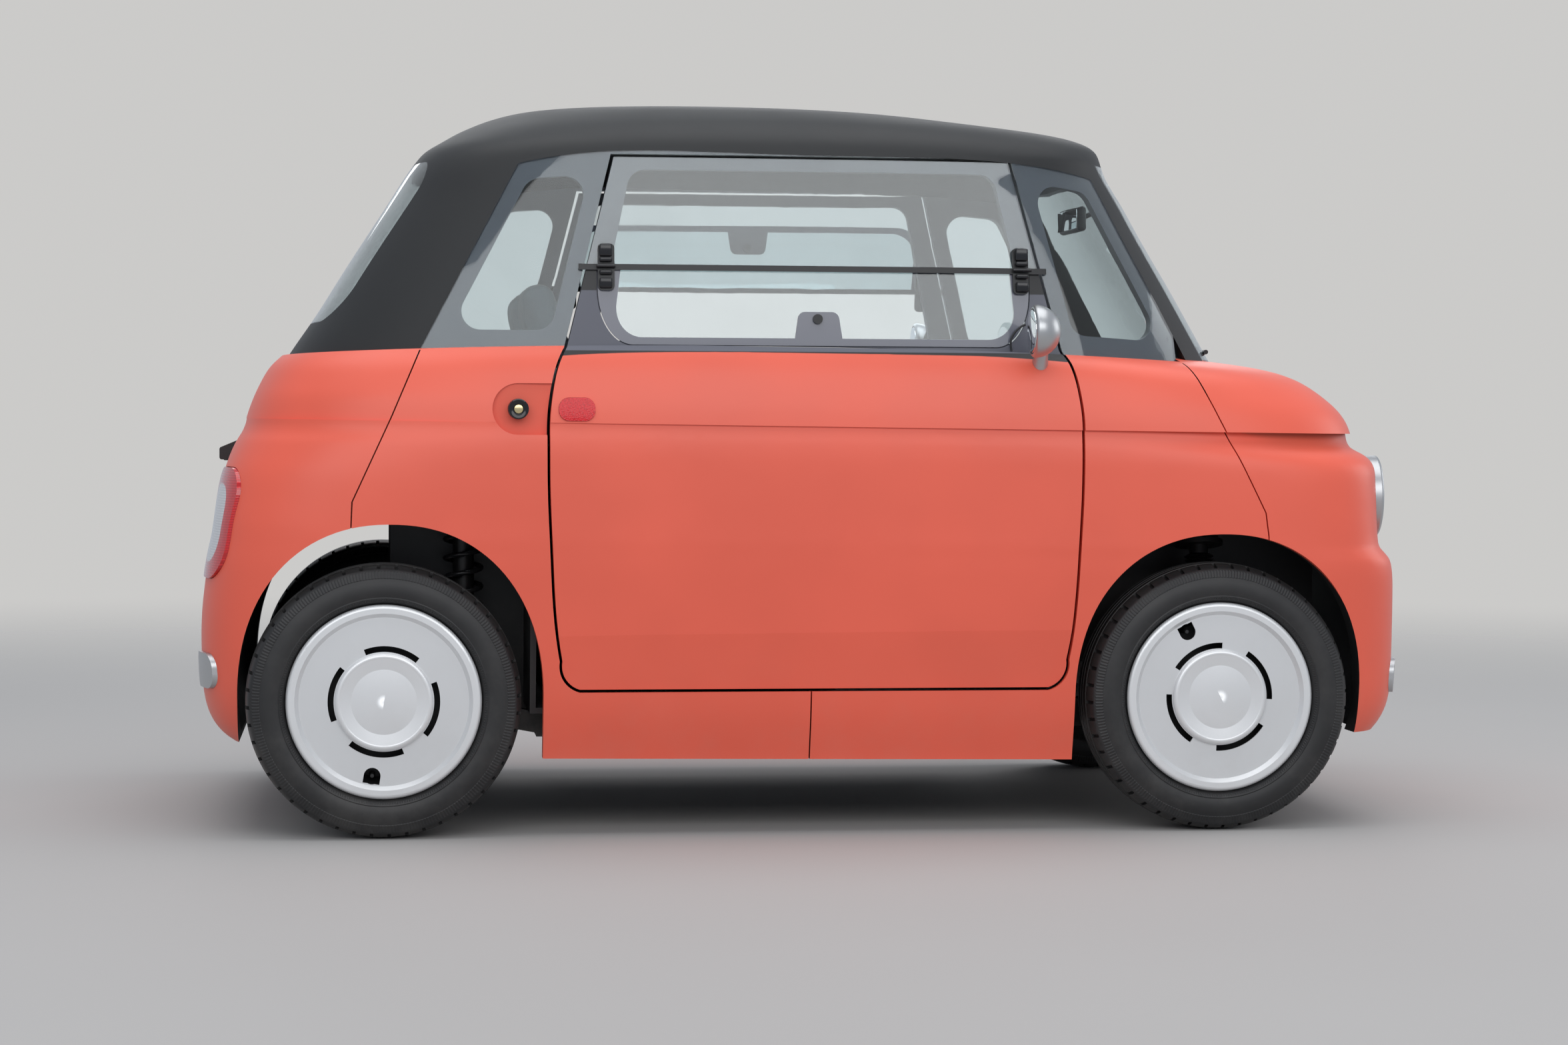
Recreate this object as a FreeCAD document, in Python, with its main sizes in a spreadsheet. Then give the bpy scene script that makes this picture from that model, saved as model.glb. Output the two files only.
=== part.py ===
import FreeCAD, Part
import math
import os
import Sketcher
from FreeCAD import Placement, Rotation, Vector

# Two-seat electric microcar, in millimetres.
# The origin is on the ground below the middle of the body: X forward, Y to the left, Z up.

doc = FreeCAD.newDocument("Microcar")
sheet = doc.addObject("Spreadsheet::Sheet", "Sizes")

SIZES = [
    ("body_length", 2535), ("body_width", 1400), ("body_height", 1530), ("wheelbase", 1728),
    ("front_axle_x", 843), ("wheel_plane_y", 592), ("crease_height", 838), ("body_wall", 40),
    ("skin_depth", 24), ("nose_bottom", 197), ("tail_bottom", 184), ("seam_width", 3),
    ("door_gap", 6), ("overrun", 60), ("waist_rear", 973), ("waist_middle", 1002),
    ("waist_front", 977), ("glass_thickness", 5), ("frame_gap", 0.3), ("frame_depth", 32),
    ("arch_half", 308), ("arch_base", 283), ("rear_arch_top", 638), ("front_arch_top", 619),
    ("rear_arch_x", -872), ("front_arch_x", 841), ("door_middle_x", -7), ("door_length", 1092),
    ("door_bottom", 302), ("door_waist", 997), ("door_top", 1388), ("door_top_length", 824),
    ("flap_bar_height", 1161), ("flap_bar_radius", 6), ("door_glass_border", 44),
    ("quarter_glass_border", 34), ("window_corner", 38), ("flap_fold_angle", 168),
    ("tyre_radius", 278.5), ("tyre_width", 155), ("bead_radius", 178), ("rim_width", 114),
    ("rim_flange", 186), ("rim_skin", 5), ("cover_radius", 197), ("cover_skin", 3.5),
    ("stub_radius", 15), ("stub_clearance", 0.08), ("hub_radius", 46), ("slot_inner_radius", 101),
    ("slot_width", 12), ("slot_sweep", 60), ("slot_count", 4), ("kingpin_low_y", 560),
    ("kingpin_low_z", 165), ("kingpin_top_y", 455), ("kingpin_top_z", 650), ("ball_radius", 21),
    ("ball_gap", 0.3), ("upright_radius", 17), ("strut_radius", 20), ("spring_seat_radius", 52),
    ("rail_y", 320), ("rail_width", 50), ("rail_height", 60), ("rail_z", 190), ("floor_z", 250),
    ("floor_thickness", 12), ("lamp_y", 455), ("headlamp_z", 692), ("headlamp_radius", 88),
    ("tail_lamp_y", 490), ("tail_lamp_z", 636), ("tail_lamp_width", 196), ("tail_lamp_height", 226),
    ("tail_lamp_corner", 62), ("mirror_radius", 54), ("mirror_depth", 50), ("mirror_x", 431),
    ("mirror_y", 742), ("mirror_z", 1034), ("lock_x", -617), ("lock_z", 871), ("lock_radius", 21),
    ("seat_y", 262), ("seat_width", 430), ("steering_wheel_radius", 175), ("bezel_width", 14),
    ("bezel_back", 6), ("lens_front", 12), ("bowl_depth", 30), ("lamp_turn", 5.5),
    ("lamp_face_share", 0.9665), ("lamp_gap", 1), ("lamp_depth", 78), ("lamp_proud", 5),
    ("tail_lamp_depth", 20), ("pocket_height", 104), ("pocket_length", 110), ("pocket_depth", 26),
    ("lock_sunk", 6), ("key_radius", 8), ("sill_split_x", -17), ("header_rise", 6),
    ("screen_low_half", 520), ("screen_top_half", 470), ("screen_low_z", 1010),
    ("screen_top_z", 1378), ("rear_glass_low_half", 460), ("rear_glass_top_half", 430),
    ("rear_glass_low_z", 1050), ("rear_glass_top_z", 1388), ("rear_glass_corner", 70),
    ("door_sill_border", 14), ("door_head_border", 26), ("bar_end_inset", 24),
    ("bracket_width", 34), ("bracket_height", 96), ("bracket_reach", 430), ("link_reach", 14),
    ("link_height", 34), ("latch_x", -4),
    ("latch_z", 1058), ("latch_radius", 10), ("flap_half", 447), ("flap_low", 1003),
    ("flap_corner_across", 72), ("flap_corner_up", 113), ("flap_gap", 2.5), ("fold_rear_y", 639.7), ("fold_front_y", 625.8),
    ("mirror_rim", 8), ("mirror_foot_y", 660), ("mirror_foot_z", 966), ("mirror_foot_radius", 17),
    ("mirror_neck_radius", 10), ("rim_disc", 12), ("hub_inner", 25), ("hub_outer", 22),
    ("bead_drop", 16), ("tread_half", 36), ("shoulder_half", 65), ("shoulder_drop", 10),
    ("bulge_radius", 228), ("cover_back", 57.5), ("cover_rise", 15), ("cover_bevel", 8),
    ("ring_inner_radius", 171), ("plate_axial", 64), ("cap_outer_radius", 99),
    ("cap_rise_axial", 74), ("cap_ring_radius", 88), ("cap_dish_radius", 66),
    ("cap_dish_axial", 71), ("valve_radius", 17), ("valve_place_radius", 152),
    ("carrier_radius", 36), ("carrier_inner_y", 508), ("upright_thickness", 26),
    ("arm_thickness", 15), ("arm_inner_y", 345), ("arm_spread", 110), ("strut_start", 250),
    ("strut_cap_radius", 46), ("strut_cap_thickness", 10), ("tower_thickness", 8),
    ("tower_half", 70), ("drive_shaft_radius", 13), ("drive_shaft_end_y", 462), ("boot_radius", 33),
    ("boot_length", 55), ("drive_unit_half_length", 180), ("drive_unit_width", 300),
    ("drive_unit_height", 230), ("rear_arm_y", 478), ("rear_arm_width", 34),
    ("rear_arm_height", 44), ("rear_pivot_x", -548), ("rear_beam_x", -720),
    ("rear_beam_radius", 32), ("rear_damper_y", 432), ("rear_damper_radius", 22),
    ("crossmember_width", 44), ("frame_rear_x", -1140), ("frame_front_x", 1130),
    ("floor_front_x", 508), ("floor_rear_x", -578), ("bulkhead_top", 890), ("shelf_z", 702),
    ("shelf_rear_x", -1120), ("shelf_half", 468), ("battery_length", 560), ("battery_width", 560),
    ("battery_height", 104), ("battery_x", -545), ("dash_front_x", 760), ("dash_rear_x", 470),
    ("dash_low", 640), ("dash_top", 858), ("dash_half", 560), ("wheel_x", 250), ("wheel_z", 792),
    ("wheel_tilt", 24), ("wheel_rim_radius", 14), ("wheel_boss_radius", 46),
    ("wheel_boss_length", 34), ("spoke_width", 34), ("spoke_thickness", 16), ("column_radius", 20),
    ("column_gap", 0.3), ("cushion_front_x", 60), ("cushion_rear_x", -400), ("cushion_low", 400),
    ("cushion_thickness", 100), ("back_lean", 16), ("back_height", 620), ("back_thickness", 80),
    ("shell_thickness", 26), ("soft_gap", 0.3), ("cushion_round", 34), ("pad_y", 500),
    ("pad_width", 130), ("pad_height", 72), ("pad_corner", 30), ("pad_proud", 7), ("pad_sunk", 10),
    ("tuck_height", 421), ("tuck_half", 689.2), ("tuck_low_half", 660), ("reflector_x", -499),
    ("reflector_length", 73), ("reflector_height", 47), ("reflector_corner", 21),
    ("reflector_proud", 4), ("reflector_sunk", 5), ("front_pad_z", 312), ("rear_pad_z", 334),
    ("plate_cover_half", 190), ("plate_cover_low", 760), ("plate_cover_top", 811),
    ("plate_cover_reach", 34), ("tow_thread_radius", 7), ("tow_y", 250), ("jack_pad_length", 70),
    ("jack_pad_drop", 10), ("jack_front_x", 400), ("jack_rear_x", -450), ("wing_z", 330),
    ("wing_thickness", 6), ("wing_front_top", 630), ("rear_wing_x", -871),
    ("front_wheel_turn", -27), ("rear_wheel_turn", -171), ("stub_end_gap", 1), ("beam_rise", 10),
]

for row, (alias, value) in enumerate(SIZES, start=1):
    sheet.set("A%d" % row, alias)
    sheet.set("B%d" % row, str(value))
    sheet.setAlias("B%d" % row, alias)
doc.recompute()


def size(alias):
    return float(sheet.get(alias))


half_length = size("body_length") / 2
half_width = size("body_width") / 2
height = size("body_height")
crease = size("crease_height")
wall = size("body_wall")
overrun = size("overrun")
front_axle_x = size("front_axle_x")
rear_axle_x = front_axle_x - size("wheelbase")
axle_z = size("tyre_radius")
RIGHT = -1
LEFT = 1
SIDES = (("right", RIGHT), ("left", LEFT))
UP = Vector(0, 0, 1)
ORIGIN = Vector(0, 0, 0)

# The crease falls a little towards the nose, and every level line of the lower body with it.
LEVEL_SLOPE_SHARE = 0.0098

# How far along the side and across the ends the points of a level line lie.
CURVE_SHARES = (0, 0.28, 0.52, 0.72, 0.86, 0.95)

# Lower body: level of the crease, half width, nose, tail, then how square each end is.
LOWER_SHARES = (
    (0.184, 0.920, 0.908, 0.908, 9.0, 8.0),
    (0.238, 0.936, 0.964, 0.972, 9.0, 8.0),
    (0.298, 0.954, 0.990, 0.990, 9.0, 8.0),
    (0.394, 0.971, 0.9985, 0.996, 9.0, 8.0),
    (0.501, 0.984, 0.9985, 0.996, 9.0, 8.0),
    (0.597, 0.991, 0.998, 0.990, 9.0, 8.0),
    (0.662, 0.996, 0.995, 0.983, 9.0, 8.0),
    (0.690, 0.997, 0.988, 0.979, 9.0, 8.0),
    (0.711, 0.9985, 0.975, 0.976, 9.0, 8.0),
    (0.740, 0.9985, 0.9695, 0.973, 9.0, 8.0),
    (0.811, 1.000, 0.9695, 0.967, 8.5, 7.5),
    (0.883, 1.000, 0.970, 0.957, 8.0, 7.0),
    (0.925, 1.000, 0.9695, 0.947, 7.2, 6.5),
    (0.949, 0.9985, 0.958, 0.939, 6.4, 6.3),
    (0.964, 0.997, 0.9445, 0.933, 5.8, 6.1),
    (0.981, 0.994, 0.942, 0.928, 5.4, 6.0),
    (1.000, 0.992, 0.942, 0.925, 5.2, 6.0),
)

# Shoulder and bonnet: the same columns, and the level again as a share of the crease.
SHOULDER_SHARES = (
    (1.000, 0.999, 0.9455, 0.926, 5.2, 6.0),
    (1.024, 0.996, 0.942, 0.921, 5.0, 6.0),
    (1.056, 0.990, 0.930, 0.913, 4.8, 6.0),
    (1.092, 0.981, 0.907, 0.902, 4.5, 5.8),
    (1.128, 0.970, 0.874, 0.888, 4.2, 5.6),
    (1.152, 0.960, 0.838, 0.873, 3.8, 5.4),
    (1.167, 0.952, 0.797, 0.862, 3.4, 5.2),
    (1.179, 0.944, 0.742, 0.852, 3.0, 5.0),
    (1.193, 0.937, 0.663, 0.843, 2.8, 4.8),
)

# Glasshouse and roof: level of the overall height, then the same columns.
GLASSHOUSE_SHARES = (
    (0.600, 0.941, 0.750, 0.884, 4.0, 4.5),
    (0.637, 0.931, 0.724, 0.862, 4.0, 4.5),
    (0.686, 0.920, 0.690, 0.822, 4.0, 4.5),
    (0.752, 0.900, 0.644, 0.772, 4.0, 4.4),
    (0.817, 0.877, 0.597, 0.722, 4.0, 4.3),
    (0.869, 0.859, 0.561, 0.682, 4.0, 4.2),
    (0.905, 0.846, 0.536, 0.654, 4.0, 4.1),
    (0.915, 0.843, 0.532, 0.645, 4.0, 4.0),
    (0.926, 0.836, 0.531, 0.634, 3.8, 3.8),
    (0.939, 0.817, 0.527, 0.612, 3.5, 3.5),
    (0.951, 0.786, 0.505, 0.590, 3.2, 3.2),
    (0.964, 0.736, 0.430, 0.562, 2.8, 2.9),
    (0.974, 0.679, 0.339, 0.536, 2.6, 2.7),
    (0.984, 0.600, 0.245, 0.501, 2.4, 2.5),
    (0.990, 0.500, 0.162, 0.465, 2.3, 2.4),
    (0.9955, 0.364, 0.071, 0.379, 2.2, 2.2),
    (0.9987, 0.214, -0.024, 0.260, 2.1, 2.1),
    (1.000, 0.100, -0.079, 0.174, 2.0, 2.0),
)
RAIL_SHARE = 0.915
SHOULDER_MIDDLE_SHARE = 0.197
GLASSHOUSE_MIDDLE_SHARE = -0.079


def quarter_curve(power):
    corner = 0.5 ** (1 / power)
    side = [(corner * s, (1 - (corner * s) ** power) ** (1 / power)) for s in CURVE_SHARES]
    end = [(across, along) for along, across in reversed(side)]
    return side + [(corner, corner)] + end


def level_line(level, width, nose, tail, nose_power, tail_power, middle, slope):
    front = quarter_curve(nose_power)
    rear = quarter_curve(tail_power)
    places = [(middle + (tail - middle) * u, -width * v) for u, v in reversed(rear)]
    places += [(middle + (nose - middle) * u, -width * v) for u, v in front[1:]]
    places += [(middle + (nose - middle) * u, width * v) for u, v in list(reversed(front))[1:]]
    places += [(middle + (tail - middle) * u, width * v) for u, v in rear[1:-1]]
    return [Vector(x, y, level - slope * x) for x, y in places]


def knot_places(points):
    total = [0.0]
    for index, point in enumerate(points):
        following = points[(index + 1) % len(points)]
        total.append(total[-1] + (following - point).Length)
    return [distance / total[-1] for distance in total]


def skinned(lines):
    """A closed form through level lines, which all share their knots."""
    knots = knot_places(lines[len(lines) // 2])
    curves = []
    for points in lines:
        curve = Part.BSplineCurve()
        curve.interpolate(Points=points, PeriodicFlag=True, Parameters=knots)
        curves.append(curve)
    travel = [0.0]
    for below, above in zip(lines, lines[1:]):
        steps = [(b - a).Length for a, b in zip(below, above)]
        travel.append(travel[-1] + sum(steps) / len(steps))
    columns = []
    for poles in zip(*[curve.getPoles() for curve in curves]):
        column = Part.BSplineCurve()
        column.interpolate(Points=list(poles), Parameters=travel)
        columns.append(column)
    around = curves[0]
    upward = columns[0]
    surface = Part.BSplineSurface()
    surface.buildFromPolesMultsKnots([column.getPoles() for column in columns],
                                     around.getMultiplicities(), upward.getMultiplicities(),
                                     around.getKnots(), upward.getKnots(),
                                     True, False, around.Degree, upward.Degree)
    faces = [surface.toShape()]
    faces += [Part.Face(Part.Wire(curve.toShape())) for curve in (curves[0], curves[-1])]
    shell = Part.Compound(faces)
    shell.sewShape()
    solid = Part.Solid(shell.Shells[0])
    solid.fix(0.001, 0.001, 0.001)
    return solid


def lower_body(inset):
    lines = []
    for level, width, nose, tail, nose_power, tail_power in LOWER_SHARES:
        drop = inset if level == LOWER_SHARES[0][0] else 0
        lines.append(level_line(level * crease - drop, width * half_width - inset,
                                nose * half_length - inset, inset - tail * half_length,
                                nose_power, tail_power, 0, LEVEL_SLOPE_SHARE))
    return skinned(lines)


def shoulder_body(inset, drop):
    lines = []
    top = SHOULDER_SHARES[-1][0]
    for level, width, nose, tail, nose_power, tail_power in SHOULDER_SHARES:
        fall = drop * (level - 1) / (top - 1)
        lines.append(level_line(level * crease - fall, width * half_width - inset,
                                nose * half_length - inset, inset - tail * half_length,
                                nose_power, tail_power,
                                SHOULDER_MIDDLE_SHARE * half_length, LEVEL_SLOPE_SHARE))
    return skinned(lines)


def glasshouse(inset, drop):
    lines = []
    for level, width, nose, tail, nose_power, tail_power in GLASSHOUSE_SHARES:
        fall = drop * max(0, (level - RAIL_SHARE) / (1 - RAIL_SHARE))
        taper = min(1, (1.1 - level) / (1.1 - RAIL_SHARE))
        middle = min(GLASSHOUSE_MIDDLE_SHARE, (nose - tail) / 2)
        lines.append(level_line(level * height - fall, width * half_width - inset * taper,
                                nose * half_length - inset * taper,
                                inset * taper - tail * half_length,
                                nose_power, tail_power, middle * half_length, 0))
    return skinned(lines)


def hollow(outer, inner):
    """The space between two closed forms that stand on the same level, open below."""

    def split(form):
        foot = min(form.Faces, key=lambda face: face.BoundBox.ZMax)
        return foot, [face for face in form.Faces if not face.isSame(foot)]

    outer_foot, outer_faces = split(outer)
    inner_foot, inner_faces = split(inner)
    ring = Part.Face([outer_foot.OuterWire, inner_foot.OuterWire])
    if ring.Area > outer_foot.Area:
        ring = outer_foot.cut(inner_foot).Faces[0]
    shell = Part.Compound(outer_faces + inner_faces + [ring])
    shell.sewShape()
    solid = Part.Solid(shell.Shells[0] if shell.Shells else Part.Shell(shell.Faces))
    solid.fix(0.001, 0.001, 0.001)
    return solid


def whole_body(inset, drop):
    return lower_body(inset).fuse(shoulder_body(inset, drop))


# Side view outlines

def side_point(x, z):
    return Vector(x, 0, z)


def spread(wire, side=0):
    """Extrude a side view outline over one side of the car, or over both."""
    reach = half_width + overrun
    face = Part.Face(wire)
    if side == RIGHT:
        face.translate(Vector(0, -reach, 0))
        return face.extrude(Vector(0, reach, 0))
    if side == LEFT:
        return face.extrude(Vector(0, reach, 0))
    face.translate(Vector(0, -reach, 0))
    return face.extrude(Vector(0, 2 * reach, 0))


def polygon(points):
    return Part.makePolygon(list(points) + [points[0]])


def smooth_edge(points):
    curve = Part.BSplineCurve()
    curve.interpolate(points)
    return curve.toShape()


# Door: half widths of its edge from the bottom up to the waist, each side of its middle.
DOOR_EDGE_SHARES = (
    (0.083, 0.951), (0.213, 0.974), (0.414, 0.989), (0.573, 0.998), (0.724, 1.000),
    (0.803, 0.998), (0.863, 0.989), (0.928, 0.9725), (1.000, 0.934),
)
DOOR_CORNER_SHARE = 0.886


def door_outline(grow):
    middle = size("door_middle_x")
    half = size("door_length") / 2
    bottom = size("door_bottom") - grow
    low = size("door_bottom")
    waist = size("door_waist")
    top = size("door_top") + grow
    top_half = size("door_top_length") / 2 + grow
    edges = []
    last = None
    for side in (-1, 1):
        points = [side_point(middle + side * (half * share + grow), low + (waist - low) * level)
                  for level, share in DOOR_EDGE_SHARES]
        corner = side_point(middle + side * half * DOOR_CORNER_SHARE, bottom)
        start = points[0]
        knee = side_point(start.x - side * (start.x - corner.x) * side * 0.35,
                          bottom + (start.z - bottom) * 0.25)
        edges.append(Part.Arc(corner, knee, start).toShape())
        edges.append(smooth_edge(points))
        head = side_point(middle + side * top_half, top)
        edges.append(Part.makeLine(points[-1], head))
        if last:
            edges.append(Part.makeLine(last[0], corner))
            edges.append(Part.makeLine(last[1], head))
        last = (corner, head)
    return Part.Wire(Part.__sortEdges__(edges))


ARCH_POWER = 2.2
ARCH_SHARES = (-1, -0.985, -0.94, -0.85, -0.7, -0.5, -0.25, 0, 0.25, 0.5, 0.7, 0.85, 0.94, 0.985, 1)


def arch_outline(middle, top, grow):
    half = size("arch_half") + grow
    base = size("arch_base")
    rise = top + grow - base
    points = []
    for share in ARCH_SHARES:
        lift = (1 - abs(share) ** ARCH_POWER) ** (1 / ARCH_POWER)
        points.append(side_point(middle + half * share, base + rise * lift))
    crown = smooth_edge(points)
    foot_front = side_point(points[-1].x, -overrun)
    foot_rear = side_point(points[0].x, -overrun)
    return Part.Wire([crown, Part.makeLine(points[-1], foot_front),
                      Part.makeLine(foot_front, foot_rear), Part.makeLine(foot_rear, points[0])])


def share_points(table):
    return [side_point(x * half_length, z * height) for x, z in table]


FRONT_SEAM_SHARES = ((0.6107, 0.636), (0.6249, 0.6137), (0.6560, 0.5600),
                     (0.7330, 0.4333), (0.7385, 0.4007))
REAR_SEAM_SHARES = ((-0.6414, 0.647), (-0.6872, 0.5575), (-0.7487, 0.4464), (-0.7503, 0.4144))
FRONT_PILLAR_INNER_SHARES = ((0.633, 0.640), (0.475, 0.891))
FRONT_PILLAR_OUTER_SHARES = ((0.676, 0.637), (0.490, 0.913))
REAR_PILLAR_SHARES = ((-0.639, 0.652), (-0.4836, 0.898))
REAR_CAP_TOP_SHARE = -0.359
WAIST_PEAK_SHARE = -0.2525
BRACKET_ROUND_SHARE = 0.6
DOME_MID_SHARE = 0.7071
ARC_SAG_SHARE = 0.3
ARM_PLATE_SHARE = 0.8
SPRING_SEAT_SHARE = 0.76
MIRROR_FOOT_SHARE = 0.6
FLAP_CORNER_SHARES = (0, 0.2, 0.4, 0.6, 0.8, 1)
RAIL_LINE_SHARES = ((-0.4836, 0.898), (-0.335, 0.915), (-0.137, 0.9145), (0.082, 0.912),
                    (0.327, 0.907), (0.475, 0.891))


def seam_region(table, side):
    """Everything ahead of a seam, or behind it."""
    points = share_points(table)
    far = side * (half_length + overrun)
    tall = side_point(points[0].x - (points[1].x - points[0].x), height)
    low = side_point(points[-1].x, -overrun)
    return polygon([tall] + points + [low, side_point(far, -overrun), side_point(far, height)])


def seam_strip(table):
    points = share_points(table)
    half = size("seam_width") / 2
    low = side_point(points[-1].x, points[-1].z - overrun)
    path = points + [low]
    ahead = [p + Vector(half, 0, 0) for p in path]
    behind = [p - Vector(half, 0, 0) for p in path]
    return spread(polygon(ahead + list(reversed(behind))))


def rounded(points, radius):
    """A closed outline whose corners are arcs of one radius."""
    edges = []
    stops = []
    count = len(points)
    for index, corner in enumerate(points):
        before = (points[index - 1] - corner).normalize()
        after = (points[(index + 1) % count] - corner).normalize()
        half_angle = before.getAngle(after) / 2
        bisector = (before + after).normalize()
        reach = radius / math.tan(half_angle)
        centre = corner + bisector * (radius / math.sin(half_angle))
        start = corner + before * reach
        end = corner + after * reach
        edges.append(Part.Arc(start, centre - bisector * radius, end).toShape())
        stops.append((start, end))
    for index, (start, end) in enumerate(stops):
        edges.append(Part.makeLine(end, stops[(index + 1) % count][0]))
    return Part.Wire(Part.__sortEdges__(edges))


def shrunk(points, border):
    """A convex side view polygon with every edge moved inwards."""
    middle = sum(points, Vector()) * (1 / len(points))
    lines = []
    for index, start in enumerate(points):
        end = points[(index + 1) % len(points)]
        along = (end - start).normalize()
        inward = Vector(-along.z, 0, along.x)
        if inward.dot(middle - start) < 0:
            inward = inward * -1
        lines.append((start + inward * border, along))
    corners = []
    for index, (start, along) in enumerate(lines):
        other, direction = lines[index - 1]
        cross = along.x * direction.z - along.z * direction.x
        gap = other - start
        distance = (gap.x * direction.z - gap.z * direction.x) / cross
        corners.append(start + along * distance)
    return corners


def block(x0, x1, y0, y1, z0, z1):
    return Part.makeBox(x1 - x0, y1 - y0, z1 - z0, Vector(x0, y0, z0))


def mirrored(shape):
    """The same shape on the other side of the car."""
    return shape.mirror(ORIGIN, Vector(0, 1, 0))


nodes = []


def keep(item, label):
    item.Label = label
    nodes.append(item)
    return item


def feature(label, shape, placement=None):
    item = doc.addObject("Part::Feature", label)
    item.Shape = shape
    if placement:
        item.Placement = placement
    return item


def publish(label, shape, placement=None):
    """Keep a shape as one named sub-part."""
    return keep(feature(label, shape, placement), label)


def pair(shape):
    return Part.makeCompound([shape, mirrored(shape)])


# The closed forms that every panel and pane is cut from

body_outer = whole_body(0, 0)
body_inner = whole_body(wall, wall)
body_skin = whole_body(size("skin_depth"), size("skin_depth"))
frame_face = size("glass_thickness") + size("frame_gap")
frame_depth = size("frame_depth")
house_outer = glasshouse(0, 0)
frame_inner = glasshouse(frame_depth, frame_depth)
glass_shell = hollow(house_outer, glasshouse(size("glass_thickness"), size("glass_thickness")))
frame_shell = hollow(glasshouse(frame_face, frame_face), frame_inner)
thick_shell = hollow(house_outer, frame_inner)
bar_shell = hollow(glasshouse(-size("flap_bar_radius"), 0), house_outer)

front_seam = share_points(FRONT_SEAM_SHARES)
waist_start = side_point(-half_length, size("waist_rear"))
waist_peak = side_point(WAIST_PEAK_SHARE * half_length, size("waist_middle"))
waist_end = side_point(front_seam[0].x, size("waist_front"))
waist_top_front = side_point(waist_end.x, height + overrun)
waist_top_rear = side_point(waist_start.x, height + overrun)
above_waist = spread(Part.Wire([
    Part.Arc(waist_start, waist_peak, waist_end).toShape(),
    Part.makeLine(waist_end, waist_top_front),
    Part.makeLine(waist_top_front, waist_top_rear),
    Part.makeLine(waist_top_rear, waist_start)]))

arches = [spread(arch_outline(size("rear_arch_x"), size("rear_arch_top"), 0)),
          spread(arch_outline(size("front_arch_x"), size("front_arch_top"), 0))]
body_trim = body_outer.cut(above_waist)
body_shell = body_trim.cut(body_inner).cut(frame_inner).cut(arches)
door_form = {side: spread(door_outline(0), side) for name, side in SIDES}
door_hole = spread(door_outline(size("door_gap")))
ahead_of_seam = spread(seam_region(FRONT_SEAM_SHARES, 1))
behind_seam = spread(seam_region(REAR_SEAM_SHARES, -1))
grooves = [seam_strip(FRONT_SEAM_SHARES).cut(body_skin), seam_strip(REAR_SEAM_SHARES).cut(body_skin)]

far = half_length + overrun
wide = half_width + overrun

# Lamp recesses

headlamp_radius = size("headlamp_radius")
lamp_turn = size("lamp_turn")
lamp_face_x = size("lamp_face_share") * half_length
lamp_gap = size("lamp_gap")


def lamp_place(side):
    spot = Vector(lamp_face_x, side * size("lamp_y"), size("headlamp_z"))
    return Placement(spot, Rotation(UP, side * lamp_turn).multiply(Rotation(Vector(0, 1, 0), 90)))


def headlamp_recess(side):
    depth = size("lamp_depth") + lamp_gap
    hole = Part.makeCylinder(headlamp_radius + lamp_gap, depth + overrun, Vector(0, 0, -depth))
    hole.Placement = lamp_place(side)
    return hole


def tail_lamp_form(grow):
    half_across = size("tail_lamp_width") / 2 + grow
    half_up = size("tail_lamp_height") / 2 + grow
    y = -size("tail_lamp_y")
    z = size("tail_lamp_z")
    corners = [Vector(-far, y - half_across, z - half_up), Vector(-far, y + half_across, z - half_up),
               Vector(-far, y + half_across, z + half_up), Vector(-far, y - half_across, z + half_up)]
    outline = rounded(corners, size("tail_lamp_corner") + grow)
    return Part.Face(outline).extrude(Vector(half_length, 0, 0))


def pad_forms(grow):
    """Side outlines of the front and the rear pad on the right, drawn out along the car."""
    forms = []
    half_across = size("pad_width") / 2 + grow
    half_up = size("pad_height") / 2 + grow
    y = -size("pad_y")
    for direction, z in ((1, size("front_pad_z")), (-1, size("rear_pad_z"))):
        corners = [Vector(0, y - half_across, z - half_up), Vector(0, y + half_across, z - half_up),
                   Vector(0, y + half_across, z + half_up), Vector(0, y - half_across, z + half_up)]
        face = Part.Face(rounded(corners, size("pad_corner") + grow))
        forms.append(face.extrude(Vector(direction * far, 0, 0)))
    return forms


lamp_skin = lower_body(-size("lamp_proud"))
lamp_back = lower_body(size("tail_lamp_depth"))
lamp_seat = lower_body(size("tail_lamp_depth") + lamp_gap)
tail_lamp = tail_lamp_form(0).common(lamp_skin).cut(lamp_back)
tail_recess = tail_lamp_form(lamp_gap).cut(lamp_seat)
pad_seat = lower_body(size("pad_sunk") + size("frame_gap"))
pad_pockets = [form.cut(pad_seat) for form in pad_forms(size("frame_gap"))]

# Front shell with the bonnet, and rear shell

nose = body_shell.common(ahead_of_seam)
nose = nose.cut(block(0, far, -wide, wide, -overrun, size("nose_bottom")))
nose = nose.cut([headlamp_recess(RIGHT), headlamp_recess(LEFT), grooves[0],
                 pad_pockets[0], mirrored(pad_pockets[0])])
publish("front_shell", nose)
tail = body_shell.common(behind_seam)
tail = tail.cut(block(-far, 0, -wide, wide, -overrun, size("tail_bottom")))
tail = tail.cut([tail_recess, mirrored(tail_recess), grooves[1],
                 pad_pockets[1], mirrored(pad_pockets[1])])
publish("rear_shell", tail)

# Side panels, each with half of the sill. The lock pocket is beside each door's free edge.

lock_spot = Vector(size("lock_x"), -half_width, size("lock_z"))


def lock_pocket():
    pocket_half = size("pocket_height") / 2
    reach = size("pocket_length")
    floor_y = -half_width + size("pocket_depth")
    rear = Part.makeCylinder(pocket_half, overrun, Vector(lock_spot.x, floor_y, lock_spot.z),
                             Vector(0, -1, 0))
    run = block(lock_spot.x, lock_spot.x + reach, floor_y - overrun, floor_y,
                lock_spot.z - pocket_half, lock_spot.z + pocket_half)
    return rear.fuse(run).removeSplitter()


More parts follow.
